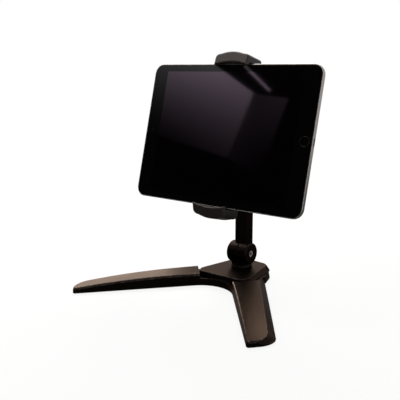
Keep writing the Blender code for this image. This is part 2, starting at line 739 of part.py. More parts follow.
def build_turret(parent):
    """Swivelling turret: spigot, disc and the left half of the lower knuckle."""
    soft = TURRET_EDGE
    profile = [(SPIGOT_RADIUS, -SPIGOT_SEAT - CLEARANCE), (SPIGOT_RADIUS, TURRET_BOTTOM)]
    profile += [(TURRET_RADIUS - soft, TURRET_BOTTOM), (TURRET_RADIUS, TURRET_BOTTOM + soft)]
    profile += [(TURRET_RADIUS, TURRET_TOP - soft), (TURRET_RADIUS - soft, TURRET_TOP)]
    turret = solid("turret", turned(profile), "dark paint", parent)
    neck = [(-TURRET_NECK_OUT, -TURRET_NECK_HALF_DEPTH), (-FACE_GAP, -TURRET_NECK_HALF_DEPTH)]
    neck += [(-FACE_GAP, TURRET_NECK_HALF_DEPTH), (-TURRET_NECK_OUT, TURRET_NECK_HALF_DEPTH)]
    join(turret, tool("turret_neck", prism(neck, TURRET_BOTTOM + soft, PIVOT_UP), parent))
    join(turret, ear(PIVOT_UP, parent, "turret_ear"))
    cut_bolt_side(turret, PIVOT_UP, parent, "lower_knuckle")
    hole = SWIVEL_SCREW_RADIUS + CLEARANCE
    top = TURRET_TOP - soft
    bore = turned([(hole, -BLOCK_TOP), (hole, top)], steps=SMALL_STEPS)
    carve(turret, tool("turret_screw_hole", bore, parent))
    add_knuckle_hardware(PIVOT_UP, parent, "lower_knuckle")

    low = CLEARANCE
    high = low + SWIVEL_WASHER_THICKNESS
    ring = washer(SWIVEL_WASHER_RADIUS, SPIGOT_RADIUS + CLEARANCE, low, high, steps=SMALL_STEPS)
    solid("swivel_friction_washer", ring, "nylon", parent)
    plate_top = -SPIGOT_SEAT - 2 * CLEARANCE
    plate_low = plate_top - RETAINER_THICKNESS
    plate = washer(RETAINER_RADIUS, hole, plate_low, plate_top, steps=SMALL_STEPS)
    solid("swivel_retainer", plate, "steel", parent)
    head_top = plate_low - CLEARANCE
    screw = [(SWIVEL_HEAD_RADIUS, head_top - SWIVEL_HEAD_HEIGHT), (SWIVEL_HEAD_RADIUS, head_top)]
    screw += [(SWIVEL_SCREW_RADIUS, head_top), (SWIVEL_SCREW_RADIUS, top - CLEARANCE)]
    solid("swivel_screw", turned(screw, steps=SMALL_STEPS), "steel", parent)
    return turret


# Arm, with heights measured from the lower knuckle's axis

def arm_disc(pivot_up, parent, name):
    """Right half of a knuckle barrel; its inner side is trimmed with the bar."""
    outer = KNUCKLE_HALF_WIDTH
    profile = [(KNUCKLE_RADIUS, -BAR_EDGE), (KNUCKLE_RADIUS, outer - KNUCKLE_ROUND)]
    for i in range(1, EDGE_STEPS + 1):
        turn = math.pi / 2 * i / EDGE_STEPS
        radius = KNUCKLE_RADIUS - KNUCKLE_ROUND * (1.0 - math.cos(turn))
        profile.append((radius, outer - KNUCKLE_ROUND * (1.0 - math.sin(turn))))
    return tool(name, turned(profile, "X", (0.0, pivot_up)), parent)


def build_arm(parent):
    """Flat bar with half a knuckle at each end, hollowed to clear the other halves."""
    outline = rounded_box(BAR_WIDTH / 2, BAR_DEPTH / 2, BAR_EDGE, (ARM_SIDE_SHIFT, 0.0))
    arm = solid("arm", prism(outline, 0.0, ARM_REACH), "dark paint", parent)
    ends = (("lower", 0.0), ("upper", ARM_REACH))
    for name, up in ends:
        join(arm, arm_disc(up, parent, name + "_arm_disc"))
    reach = KNUCKLE_HALF_WIDTH + OVERCUT
    clear = KNUCKLE_RADIUS + RUNNING_GAP
    bolt = BOLT_RADIUS + CLEARANCE
    head = BOLT_HEAD_RADIUS + CLEARANCE
    head_seat = KNUCKLE_HALF_WIDTH - BOLT_HEAD_SUNK - BOLT_HEAD_HEIGHT - CLEARANCE
    for name, up in ends:
        centre = (0.0, up)
        lap = turned([(clear, -reach), (clear, FACE_GAP)], "X", centre)
        carve(arm, tool(name + "_lap", lap, parent))
        hole = turned([(bolt, -reach), (bolt, reach)], "X", centre, SMALL_STEPS)
        carve(arm, tool(name + "_arm_bore", hole, parent))
        pocket = turned([(head, head_seat), (head, reach)], "X", centre, SMALL_STEPS)
        carve(arm, tool(name + "_head_pocket", pocket, parent))
    return arm


# Tilting head, with depths measured from the upper knuckle's axis

def build_head(parent):
    """Left half of the upper knuckle, neck and the disc the holder turns on."""
    centre = (ARM_SIDE_SHIFT, 0.0)
    low = HEAD_REACH + HEAD_DISC_BACK
    high = HEAD_REACH + HEAD_DISC_FRONT
    soft = HEAD_DISC_EDGE
    profile = [(HEAD_DISC_RADIUS - soft, low), (HEAD_DISC_RADIUS, low + soft)]
    profile += [(HEAD_DISC_RADIUS, high - soft), (HEAD_DISC_RADIUS - soft, high)]
    head = solid("tilt_head", turned(profile, "Z", centre), "dark paint", parent)
    neck = [(-HEAD_NECK_OUT, -HEAD_NECK_HALF), (-FACE_GAP, -HEAD_NECK_HALF)]
    neck += [(-FACE_GAP, HEAD_NECK_HALF), (-HEAD_NECK_OUT, HEAD_NECK_HALF)]
    join(head, tool("head_neck", prism(neck, 0.0, low + HEAD_NECK_SINK), parent))
    join(head, ear(0.0, parent, "head_ear"))
    cut_bolt_side(head, 0.0, parent, "upper_knuckle")
    add_knuckle_hardware(0.0, parent, "upper_knuckle")
    hole = SPINDLE_RADIUS + CLEARANCE
    bore = turned([(hole, low - SPINDLE_NUT_HEIGHT), (hole, high + OVERCUT)], "Z", centre, SMALL_STEPS)
    carve(head, tool("spindle_bore", bore, parent))
    room = [(SPINDLE_NUT_ROOM, low - SPINDLE_ROOM_DEPTH), (SPINDLE_NUT_ROOM, low)]
    carve(head, tool("spindle_nut_room", turned(room, "Z", centre, SMALL_STEPS), parent))
    return head


# Holder, in the screen frame

def build_sleeve(parent):
    """Clamp sleeve behind the tablet with the spindle, its nut and washer."""
    middle = (0.0, (SLEEVE_FRONT + SLEEVE_BACK) / 2)
    inside_middle = (0.0, (CHANNEL_FRONT + CHANNEL_BACK) / 2)
    outside = rounded_box(SLEEVE_WIDTH / 2, (SLEEVE_FRONT - SLEEVE_BACK) / 2, SLEEVE_EDGE, middle)
    half_channel = SLIDE_WIDTH / 2 + CLEARANCE
    inside = rounded_box(half_channel, (CHANNEL_FRONT - CHANNEL_BACK) / 2, SLIDE_EDGE, inside_middle)
    body = ring_solid(outside, inside, SLEEVE_LOW, SLEEVE_HIGH, "Y")
    sleeve = solid("clamp_sleeve", body, "dark plastic", parent)
    hole = SPINDLE_RADIUS + CLEARANCE
    bore = turned([(hole, SLEEVE_BACK - OVERCUT), (hole, CHANNEL_BACK + CLEARANCE)], steps=SMALL_STEPS)
    carve(sleeve, tool("sleeve_bore", bore, parent))
    wide = SPINDLE_HEAD_RADIUS + CLEARANCE
    head_back = CHANNEL_BACK - SPINDLE_HEAD_HEIGHT - CLEARANCE
    sink = turned([(wide, head_back), (wide, CHANNEL_BACK + CLEARANCE)], steps=SMALL_STEPS)
    carve(sleeve, tool("spindle_sink", sink, parent))
    head_low = head_back + CLEARANCE
    nut_high = HEAD_DISC_BACK - CLEARANCE
    nut_low = nut_high - SPINDLE_NUT_HEIGHT
    spindle = [(SPINDLE_RADIUS, nut_low - CLEARANCE), (SPINDLE_RADIUS, head_low)]
    spindle += [(SPINDLE_HEAD_RADIUS, head_low), (SPINDLE_HEAD_RADIUS, head_low + SPINDLE_HEAD_HEIGHT)]
    solid("turn_spindle", turned(spindle, steps=SMALL_STEPS), "steel", parent)
    nut = ring_solid(hexagon(SPINDLE_NUT_ACROSS, SMALL_STEPS), circle(hole, SMALL_STEPS), nut_low, nut_high)
    solid("turn_nut", nut, "steel", parent)
    washer_low = TURN_WASHER_FRONT - TURN_WASHER_THICKNESS
    ring = washer(TURN_WASHER_RADIUS, hole, washer_low, TURN_WASHER_FRONT, steps=SMALL_STEPS)
    solid("turn_friction_washer", ring, "nylon", parent)
    return sleeve


def jaw_outline(grow_in):
    """Crescent of a jaw seen from the front, drawn in by a bevel's width."""
    half = JAW_HALF_WIDTH - grow_in
    edge_end = TABLET_EDGE - JAW_GRIP + grow_in
    edge_middle = edge_end + JAW_ARCH
    points = []
    for i in range(JAW_ARCH_STEPS + 1):
        x = half * (2 * i / JAW_ARCH_STEPS - 1)
        points.append((x, edge_middle - JAW_ARCH * (x / half) ** 2))
    peak = TABLET_EDGE + JAW_RISE - grow_in
    points.append((half, peak - JAW_CORNER_DROP))
    corner_x = half - JAW_ARC_HALF
    corner_y = JAW_CORNER_DROP - JAW_ARC_DROP
    for i in range(1, JAW_CORNER_STEPS):
        turn = math.pi / 2 * i / JAW_CORNER_STEPS
        x = JAW_ARC_HALF + corner_x * math.cos(turn)
        points.append((x, peak - JAW_CORNER_DROP + corner_y * math.sin(turn)))
    for i in range(JAW_TOP_STEPS + 1):
        x = JAW_ARC_HALF * (1 - 2 * i / JAW_TOP_STEPS)
        points.append((x, peak - JAW_ARC_DROP * (x / JAW_ARC_HALF) ** 2))
    for i in reversed(range(1, JAW_CORNER_STEPS)):
        turn = math.pi / 2 * i / JAW_CORNER_STEPS
        x = -JAW_ARC_HALF - corner_x * math.cos(turn)
        points.append((x, peak - JAW_CORNER_DROP + corner_y * math.sin(turn)))
    points.append((-half, peak - JAW_CORNER_DROP))
    return points


def jaw_face(outline, side, front, lean):
    """Outline on the jaw's front face, which leans back away from the tablet's edge."""
    lip = TABLET_EDGE - JAW_GRIP
    return [(x, side * y, front - lean * (y - lip)) for x, y in outline]


def build_jaw(parent, name, side, lean, bar_end):
    """Jaw with its slide bar; side is 1 for the upper and -1 for the lower jaw."""
    full = jaw_outline(0.0)
    rings = [jaw_face(full, side, -JAW_BACK, 0.0)]
    rings.append(jaw_face(full, side, JAW_FRONT - JAW_BEVEL, lean))
    rings.append(jaw_face(jaw_outline(JAW_BEVEL), side, JAW_FRONT, lean))
    jaw = solid(name, loft(rings), "dark plastic", parent)
    middle = (0.0, (SLIDE_FRONT + SLIDE_BACK) / 2)
    bar = rounded_box(SLIDE_WIDTH / 2, SLIDE_THICKNESS / 2, SLIDE_EDGE, middle)
    root = side * (TABLET_EDGE + JAW_ROOT)
    join(jaw, tool(name + "_bar", prism(bar, bar_end, root, "Y"), parent))
    seat = rounded_box(JAW_HALF_WIDTH + OVERCUT, PAD_SEAT, SLIDE_EDGE)
    carve(jaw, tool(name + "_seat", prism(seat, SLEEVE_FRONT, LIP_GAP), parent))
    return jaw


def add_jaw_pad(parent, name, side):
    """Rubber strip between a jaw and the tablet's edge."""
    low = side * (TABLET_EDGE + CLEARANCE)
    high = side * (TABLET_EDGE + CLEARANCE + PAD_THICKNESS)
    middle = (0.0, TABLET_BACK / 2)
    strip = rounded_box(JAW_PAD_HALF, -TABLET_BACK / 2 - CLEARANCE, SLIDE_EDGE, middle)
    solid(name, prism(strip, low, high, "Y"), "rubber", parent)


def build_upper_jaw(parent):
    """Sliding jaw: its bar is forked by two slots that straddle the springs."""
    jaw = build_jaw(parent, "upper_jaw", 1.0, UPPER_JAW_LEAN, SLIDE_END)
    for name, x in (("left_slot", -SLOT_OFFSET), ("right_slot", SLOT_OFFSET)):
        low = SLIDE_END - OVERCUT
        middle = (x, (low + SLOT_END) / 2)
        outline = rounded_box(SLOT_WIDTH / 2, (SLOT_END - low) / 2, SLOT_CORNER, middle)
        carve(jaw, tool(name, prism(outline, SLIDE_BACK - OVERCUT, 0.0), parent))
    add_jaw_pad(parent, "upper_jaw_pad", 1.0)
    return jaw


def build_lower_jaw(parent):
    """Fixed jaw, screwed into the sleeve's lower end."""
    jaw = build_jaw(parent, "lower_jaw", -1.0, LOWER_JAW_LEAN, FIXED_END)
    add_jaw_pad(parent, "lower_jaw_pad", -1.0)
    return jaw


def add_jaw_screws(sleeve, jaw, parent):
    """Two screws from behind that hold the lower jaw's bar in the sleeve."""
    for name, x in (("left_jaw_screw", -JAW_SCREW_X), ("right_jaw_screw", JAW_SCREW_X)):
        centre = (x, JAW_SCREW_V)
        head_low = SLEEVE_BACK + CLEARANCE
        head_top = head_low + JAW_SCREW_HEAD_HEIGHT
        tip = head_top + JAW_SCREW_REACH
        screw = [(JAW_SCREW_HEAD, head_low), (JAW_SCREW_HEAD, head_top)]
        screw += [(JAW_SCREW_RADIUS, head_top), (JAW_SCREW_RADIUS, tip)]
        solid(name, turned(screw, "Z", centre, SMALL_STEPS), "steel", parent)
        hole = JAW_SCREW_RADIUS + CLEARANCE
        bore = turned([(hole, SLEEVE_BACK - OVERCUT), (hole, tip + CLEARANCE)], "Z", centre, SMALL_STEPS)
        bore_tool = tool(name + "_bore", bore, parent)
        carve(sleeve, bore_tool)
        carve(jaw, bore_tool)
        sink = JAW_SCREW_HEAD + CLEARANCE
        room = turned([(sink, SLEEVE_BACK - OVERCUT), (sink, head_top + CLEARANCE)], "Z", centre, SMALL_STEPS)
        carve(sleeve, tool(name + "_sink", room, parent))


def add_springs(parent):
    """Two stretched coils that pull the upper jaw down, each one unbroken tube."""
    low = FIXED_END + SPRING_WIRE
    high = SLOT_END - SPRING_WIRE
    depth = (SLIDE_FRONT + SLIDE_BACK) / 2
    count = SPRING_TURNS * SPRING_STEPS
    for name, x in (("left_spring", -SLOT_OFFSET), ("right_spring", SLOT_OFFSET)):
        path = []
        for i in range(count + 1):
            turn = 2 * math.pi * i / SPRING_STEPS
            up = low + (high - low) * i / count
            path.append((x + SPRING_RADIUS * math.cos(turn), up, depth + SPRING_RADIUS * math.sin(turn)))
        least = min((Vector(path[i]) - Vector(path[j])).length
                    for i in range(count) for j in range(i + SPRING_STEPS // 2, count))
        print(name, "least gap to itself in mm", round((least - SPRING_WIRE) / MM, 2))
        curve = bpy.data.curves.new(name, "CURVE")
        curve.dimensions = "3D"
        curve.bevel_depth = SPRING_WIRE / 2
        curve.bevel_resolution = 1
        curve.use_fill_caps = True
        spline = curve.splines.new("POLY")
        spline.points.add(count)
        for point, spot in zip(spline.points, path):
            point.co = (*spot, 1.0)
        curve.materials.append(make_material(name, "steel"))
        add_object(name, curve, parent)


def add_back_pads(parent):
    """Two rubber pads between the sleeve and the tablet's back."""
    for name, v in (("upper_back_pad", BACK_PAD_V), ("lower_back_pad", -BACK_PAD_V)):
        outline = rounded_box(BACK_PAD_WIDTH / 2, BACK_PAD_HEIGHT / 2, BACK_PAD_CORNER, (0.0, v))
        pad = prism(outline, BACK_PAD_FRONT - PAD_THICKNESS, BACK_PAD_FRONT)
        solid(name, pad, "rubber", parent)


# Tablet, in the screen frame

def tablet_outline(inset):
    """Outline of the tablet drawn in by a width."""
    return rounded_box(TABLET_WIDTH / 2 - inset, TABLET_HEIGHT / 2 - inset, TABLET_CORNER - inset)


def build_housing(parent):
    """Aluminium tray with rounded back edges, key slots, port, socket and camera hole."""
    rings = []
    for i in range(EDGE_STEPS + 1):
        turn = math.pi / 2 * i / EDGE_STEPS
        inset = TABLET_BACK_ROUND * (1.0 - math.sin(turn))
        rings.append(place(tablet_outline(inset), TABLET_BACK + TABLET_BACK_ROUND * (1.0 - math.cos(turn))))
    rings.append(place(tablet_outline(0.0), -RIM_SET_BACK - CLEARANCE))
    rings.append(place(tablet_outline(CLEARANCE), -RIM_SET_BACK))
    housing = solid("tablet_housing", loft(rings), "grey_metal", parent)
    glass_room = prism(tablet_outline(RIM_WIDTH), GLASS_BACK - CLEARANCE, TABLET_THICKNESS)
    carve(housing, tool("glass_room", glass_room, parent))
    inner_room = prism(tablet_outline(TABLET_SIDE_WALL), TABLET_FLOOR, TABLET_THICKNESS)
    carve(housing, tool("inner_room", inner_room, parent))
    for name, outline, axis, low, high in key_slots():
        carve(housing, tool(name + "_slot", prism(outline, low, high, axis), parent))
    right = TABLET_WIDTH / 2
    port = slot_outline(PORT_LENGTH / 2, PORT_WIDTH / 2, (0.0, KEY_W))
    port_cut = prism(port, right - TABLET_SIDE_WALL - WALL_OVERCUT, right + WALL_OVERCUT, "X")
    carve(housing, tool("charging_port", port_cut, parent))
    jack = [(JACK_RADIUS, -right - WALL_OVERCUT)]
    jack.append((JACK_RADIUS, -right + TABLET_SIDE_WALL + WALL_OVERCUT))
    carve(housing, tool("earphone_socket", turned(jack, "X", (JACK_V, KEY_W), SMALL_STEPS), parent))
    lens = [(LENS_RADIUS + CLEARANCE, TABLET_BACK - WALL_OVERCUT)]
    lens.append((LENS_RADIUS + CLEARANCE, TABLET_FLOOR + WALL_OVERCUT))
    carve(housing, tool("lens_hole", turned(lens, "Z", (LENS_X, LENS_V), SMALL_STEPS), parent))
    return housing


def key_slots():
    """Slot of each edge key: name, outline, axis and how far the cut runs."""
    left = -TABLET_WIDTH / 2
    top = TABLET_HEIGHT / 2
    half = KEY_WIDTH / 2 + CLEARANCE
    power = slot_outline(POWER_KEY_LENGTH / 2 + CLEARANCE, half, (POWER_KEY_V, KEY_W))
    reach = TABLET_SIDE_WALL + WALL_OVERCUT
    slots = [("power_key", power, "X", left - WALL_OVERCUT, left + reach)]
    for name, x in (("volume_up_key", VOLUME_UP_X), ("volume_down_key", VOLUME_DOWN_X)):
        outline = slot_outline(VOLUME_KEY_LENGTH / 2 + CLEARANCE, half, (x, KEY_W))
        slots.append((name, outline, "Y", top - reach, top + WALL_OVERCUT))
    return slots


def build_glass(parent):
    """Front glass with the hole of the home button."""
    edge = RIM_WIDTH + CLEARANCE
    soft = GLASS_EDGE
    rings = [place(tablet_outline(edge), GLASS_BACK), place(tablet_outline(edge), -soft)]
    rings.append(place(tablet_outline(edge + soft), 0.0))
    glass = solid("front_glass", loft(rings), "glass", parent)
    hole = [(HOME_RADIUS + CLEARANCE, GLASS_BACK - WALL_OVERCUT)]
    hole.append((HOME_RADIUS + CLEARANCE, WALL_OVERCUT))
    carve(glass, tool("home_hole", turned(hole, "Z", (HOME_X, 0.0)), parent))
    return glass


def add_tablet_insides(parent):
    """Display panel, cells, board, home switch and rear camera."""
    panel = rounded_box(DISPLAY_WIDTH / 2, DISPLAY_HEIGHT / 2, DISPLAY_CORNER)
    solid("display_panel", prism(panel, DISPLAY_BACK, DISPLAY_FRONT), "panel", parent)
    for name, x in (("left_cell", -CELL_OFFSET), ("right_cell", CELL_OFFSET)):
        outline = rounded_box(CELL_WIDTH / 2, CELL_HEIGHT / 2, CELL_CORNER, (x, 0.0))
        solid(name, prism(outline, CELL_FRONT - CELL_THICKNESS, CELL_FRONT), "cell", parent)
    board = rounded_box(BOARD_WIDTH / 2, BOARD_HEIGHT / 2, BOARD_CORNER, (BOARD_X, 0.0))
    board_low = TABLET_FLOOR + CLEARANCE
    solid("logic_board", prism(board, board_low, board_low + BOARD_THICKNESS), "board", parent)
    switch = [(SWITCH_RADIUS, board_low), (SWITCH_RADIUS, board_low + SWITCH_THICKNESS)]
    solid("home_switch", turned(switch, "Z", (HOME_X, 0.0), SMALL_STEPS), "panel", parent)
    lens = [(LENS_RADIUS, TABLET_BACK), (LENS_RADIUS, TABLET_BACK + LENS_THICKNESS)]
    solid("rear_camera", turned(lens, "Z", (LENS_X, LENS_V), SMALL_STEPS), "glass", parent)


def add_keys(parent):
    """Home button and the three edge keys."""
    front = -HOME_SUNK
    profile = [(HOME_RADIUS, front - HOME_DEPTH), (HOME_RADIUS, front - HOME_DISH)]
    profile += [(HOME_RADIUS - HOME_DISH, front), (HOME_DISH_RADIUS, front - HOME_DISH)]
    solid("home_button", turned(profile, "Z", (HOME_X, 0.0)), "glass", parent)
    half = KEY_WIDTH / 2
    left = -TABLET_WIDTH / 2 - KEY_PROUD
    power = slot_outline(POWER_KEY_LENGTH / 2, half, (POWER_KEY_V, KEY_W))
    solid("power_key", prism(power, left, left + KEY_DEPTH, "X"), "grey_metal", parent)
    top = TABLET_HEIGHT / 2 + KEY_PROUD
    for name, x in (("volume_up_key", VOLUME_UP_X), ("volume_down_key", VOLUME_DOWN_X)):
        outline = slot_outline(VOLUME_KEY_LENGTH / 2, half, (x, KEY_W))
        solid(name, prism(outline, top - KEY_DEPTH, top, "Y"), "grey_metal", parent)


def main():
    clear_scene()
    foot = frame("foot_frame", (0.0, 0.0, 0.0))
    build_foot(foot)
    build_block(foot)
    swivel = frame("swivel_frame", (0.0, 0.0, BLOCK_TOP), parent=foot)
    build_turret(swivel)
    lower = frame("lower_knuckle_frame", (0.0, 0.0, PIVOT_UP), parent=swivel)
    build_arm(lower)
    upper = frame("upper_knuckle_frame", (0.0, 0.0, ARM_REACH), math.pi / 2 - SCREEN_LEAN, lower)
    build_head(upper)
    screen = frame("screen_frame", (ARM_SIDE_SHIFT, 0.0, HEAD_REACH), parent=upper)
    sleeve = build_sleeve(screen)
    build_upper_jaw(screen)
    lower_jaw = build_lower_jaw(screen)
    add_jaw_screws(sleeve, lower_jaw, screen)
    add_springs(screen)
    add_back_pads(screen)
    build_housing(screen)
    build_glass(screen)
    add_tablet_insides(screen)
    add_keys(screen)


main()
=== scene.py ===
# %% [markdown]
# # A desk prompter stand with a tablet
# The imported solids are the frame: they already have the right shapes, sizes and joints.
# This lesson gives them their looks. Sharp solid edges become the small rounded edges of
# castings and mouldings, every surface gets a finish made from nodes, a few small pieces
# are modelled by hand, and a quiet studio with one window shows the result.
# Everything is in metres, with +Z up and the screen facing -Y.

# %% Load the frame
import json
import math

import bpy
import numpy as np
from mathutils import Matrix, Vector


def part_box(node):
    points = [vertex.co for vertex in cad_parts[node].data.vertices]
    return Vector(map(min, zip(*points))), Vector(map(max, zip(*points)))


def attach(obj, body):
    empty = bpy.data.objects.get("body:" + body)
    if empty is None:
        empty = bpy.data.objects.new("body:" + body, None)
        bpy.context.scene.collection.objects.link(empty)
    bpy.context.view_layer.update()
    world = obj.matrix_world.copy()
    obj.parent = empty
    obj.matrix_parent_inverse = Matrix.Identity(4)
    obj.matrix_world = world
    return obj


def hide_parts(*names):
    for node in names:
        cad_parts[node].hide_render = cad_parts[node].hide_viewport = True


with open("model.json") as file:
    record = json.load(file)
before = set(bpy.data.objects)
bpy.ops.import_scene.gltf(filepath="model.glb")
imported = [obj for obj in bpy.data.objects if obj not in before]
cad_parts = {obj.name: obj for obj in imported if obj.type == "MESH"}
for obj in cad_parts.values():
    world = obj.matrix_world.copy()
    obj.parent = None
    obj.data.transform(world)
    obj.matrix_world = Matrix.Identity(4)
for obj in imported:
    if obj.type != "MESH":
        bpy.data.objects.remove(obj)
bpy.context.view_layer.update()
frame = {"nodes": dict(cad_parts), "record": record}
MM = 0.001


def in_mm(lengths):
    """Lengths in millimetres, for printing."""
    return [round(length / MM, 1) for length in lengths]


# %% [markdown]
# ## The camera
# The stand was photographed from the right, a little above the table. Four corners of the
# tablet and the leg edges on the table fix the place, the aim and the lens. A camera can be
# aimed with a constraint, but a written matrix keeps the roll that was measured.

# %% Place the camera
CAMERA_PLACE = Vector((0.4556, -0.6663, 0.2689))
CAMERA_AIM = Vector((-0.6054, 0.7702, -0.2008)).normalized()
CAMERA_UP = Vector((-0.1225, 0.1592, 0.9796))
LENS_MM = 58.6
SENSOR_MM = 36.0

bpy.ops.object.camera_add()
camera = bpy.context.object
camera.name = "photo_camera"
camera.data.lens = LENS_MM
camera.data.sensor_width = SENSOR_MM
across = CAMERA_AIM.cross(CAMERA_UP).normalized()
upward = across.cross(CAMERA_AIM)
facing = Matrix((across, upward, -CAMERA_AIM)).transposed().to_4x4()
camera.matrix_world = Matrix.Translation(CAMERA_PLACE) @ facing
bpy.context.scene.camera = camera
bpy.context.scene.view_settings.view_transform = "Standard"
print("camera is", round(CAMERA_PLACE.length, 3), "m from the origin, lens", LENS_MM, "mm")

# %% [markdown]
# ## Writing finishes as sums
# A finish is a graph of nodes. Wiring every Math node by hand hides what the finish means,
# so one small class wraps an output socket and lets ordinary Python sums add the nodes.
# A second class holds the graph, with one method for any other kind of node, and a third
# adds a material with its Principled shader.

# %% A socket that can stand in a sum
class Wire:
    """An output socket that can stand in a sum."""

    def __init__(self, graph, socket):
        self.graph = graph
        self.socket = socket

    def math(self, operation, first, second):
        return self.graph.node("ShaderNodeMath", {"operation": operation}, {0: first, 1: second})

    def __add__(self, other):
        return self.math("ADD", self, other)

    def __sub__(self, other):
        return self.math("SUBTRACT", self, other)

    def __rsub__(self, other):
        return self.math("SUBTRACT", other, self)

    def __mul__(self, other):
        return self.math("MULTIPLY", self, other)

    __radd__ = __add__
    __rmul__ = __mul__

    def size(self):
        return self.math("ABSOLUTE", self, 0.0)

    def above(self, limit):
        return self.math("GREATER_THAN", self, limit)

    def most(self, other):
        return self.math("MAXIMUM", self, other)

    def beside(self, out):
        """Another output of the same node."""
        return Wire(self.graph, self.socket.node.outputs[out])


print("wires ready: they add, subtract, multiply and compare")

# %% A graph of nodes, and a material
def fill_ramp(ramp, stops):
    """Set the two stops of a new ramp, each a place and a grey."""
    for element, (place, grey) in zip(ramp.elements, stops):
        element.position = place
        element.color = (grey, grey, grey, 1.0)


class Graph:
    """A tree of nodes, with one method that adds a node of any kind."""

    def __init__(self, tree):
        self.tree = tree

    def node(self, kind, settings=None, sockets=None, out=0):
        """Add a node, make its settings, feed its sockets and give one of its outputs."""
        made = self.tree.nodes.new(kind)
        for name, value in (settings or {}).items():
            if name == "stops":
                fill_ramp(made.color_ramp, value)
            else:
                setattr(made, name, value)
        for name, value in (sockets or {}).items():
            self.feed(made.inputs[name], value)
        return Wire(self, made.outputs[out])

    def feed(self, socket, value):
        """Link a wire to a socket, or set the socket to a value."""
        if isinstance(value, Wire):
            self.tree.links.new(value.socket, socket)
        else:
            socket.default_value = value

    def mix(self, share, first, second):
        """Mix two shaders: a share of 0 gives the first and 1 the second."""
        return self.node("ShaderNodeMixShader", {}, {0: share, 1: first, 2: second})

    def show(self, shader):
        """Make a shader the one that is seen."""
        self.feed(self.tree.get_output_node("ALL").inputs["Surface"], shader)


class Finish(Graph):
    """A material with one Principled shader and whatever feeds it."""

    def __init__(self, name, **constants):
        self.material = bpy.data.materials.new(name)
        self.material.use_nodes = True
        super().__init__(self.material.node_tree)
        self.shader = self.tree.nodes["Principled BSDF"]
        self.gloss = Wire(self, self.shader.outputs[0])
        for socket, value in constants.items():
            self.drive(socket.replace("_", " "), value)

    def drive(self, name, value):
        self.feed(self.shader.inputs[name], value)


print("graphs ready: Graph for any tree, Finish for materials")

# %% [markdown]
# ## Patterns that several finishes share
# All pieces keep their place in their mesh, so Object coordinates are metres on the stand and a
# noise scale reads as "features per metre". Three patterns do most of the work: a broad one for
# handling and dust, a fine one for the skin of paint or moulding, and a mask that is 1 on the
# rounded edges, where hands and cartons rub a finish first; the finishes also use that mask for a
# painted highlight, a lighter colour along each edge. A Mix node has separate sockets for numbers,
# vectors and colours, so the colour ones are picked by their place.

# %% Shared patterns
MIX_SHARE, MIX_FIRST, MIX_SECOND, MIX_RESULT = 0, 6, 7, 2
WEAR_AND_HIGHLIGHT_STOPS = [(0.42, 0.0), (0.62, 1.0)]


def place_on_stand(finish):
    return finish.node("ShaderNodeTexCoord", out="Object")


def noise(finish, scale, detail=3.0, rough=0.55):
    """Clouds with so many features per metre."""
    sockets = {"Vector": place_on_stand(finish), "Scale": scale,
               "Detail": detail, "Roughness": rough}
    return finish.node("ShaderNodeTexNoise", {"noise_dimensions": "3D"}, sockets, out="Fac")


def between(finish, share, first, second):
    """Colour mix: a share of 0 gives the first colour and 1 the second."""
    ends = [end if isinstance(end, Wire) else (*end, 1.0) for end in (first, second)]
    sockets = {MIX_SHARE: share, MIX_FIRST: ends[0], MIX_SECOND: ends[1]}
    return finish.node("ShaderNodeMix", {"data_type": "RGBA"}, sockets, out=MIX_RESULT)


def skin(finish, height, strength, depth):
    """Bump from a height pattern, in metres of depth."""
    sockets = {"Height": height, "Strength": strength, "Distance": depth}
    finish.drive("Normal", finish.node("ShaderNodeBump", {}, sockets, out="Normal"))


def worn_and_highlighted(finish, scale):
    """1 on rounded edges, broken up by noise: edge wear together with a painted highlight."""
    edge = finish.node("ShaderNodeAttribute", {"attribute_name": "edge"}, out="Fac")
    clouds = {"Fac": noise(finish, scale)}
    return edge * finish.node("ShaderNodeValToRGB", {"stops": WEAR_AND_HIGHLIGHT_STOPS}, clouds)


print("patterns ready: noise, mix, skin, rubbed edges")

# %% [markdown]
# ## Dark bronze paint
# The foot, the block, the turret, the arm and the head are aluminium castings under a brown-black
# metallic paint. Such paint is nearly black where it faces the lens and turns warm grey where it
# mirrors the room at a shallow angle. A metallic Principled shader gives that by itself: the base
# colour is what it mirrors face on, and the specular tint is the colour that it mirrors at a
# shallow angle. The noise only makes the gloss uneven, as a sprayed coat is. On the rounded edges
# the colour is lifted a little, partly as wear and partly as a painted highlight along the edge.

# %% Paint
PAINT_DARK = (0.0064, 0.0046, 0.0039)
PAINT_LIGHT = (0.0108, 0.0080, 0.0068)
PAINT_WORN_AND_HIGHLIGHTED_EDGE = (0.060, 0.049, 0.043)
PAINT_SHALLOW = (0.66, 0.60, 0.565, 1.0)


def make_paint():
    paint = Finish("dark_bronze_paint", Metallic=1.0, Specular_Tint=PAINT_SHALLOW)
    wear_and_highlight = worn_and_highlighted(paint, 260.0)
    clouds = noise(paint, 28.0, 4.0)
    plain = between(paint, clouds, PAINT_DARK, PAINT_LIGHT)
    # Rounded edges get a lighter colour: wear and a painted edge highlight.
    paint.drive("Base Color", between(paint, wear_and_highlight * 0.5, plain, PAINT_WORN_AND_HIGHLIGHTED_EDGE))
    paint.drive("Roughness", 0.27 + 0.10 * clouds - 0.04 * wear_and_highlight)
    skin(paint, noise(paint, 1500.0, 2.0), 0.12, 0.25 * MM)
    return paint.material


PAINT = make_paint()
print("paint nodes:", len(PAINT.node_tree.nodes))

# %% [markdown]
# ## Clamp plastic and rubber
# The jaws and the sleeve behind the tablet are moulded in a satin, brown-black plastic. The
# texture of such a mould is finer than a millimetre, so it shows as a soft sheen rather than
# as bumps, and the sheen is kept weak and a little warm. Rubber is flatter: it mirrors less
# clearly, because its roughness is high and chalky.

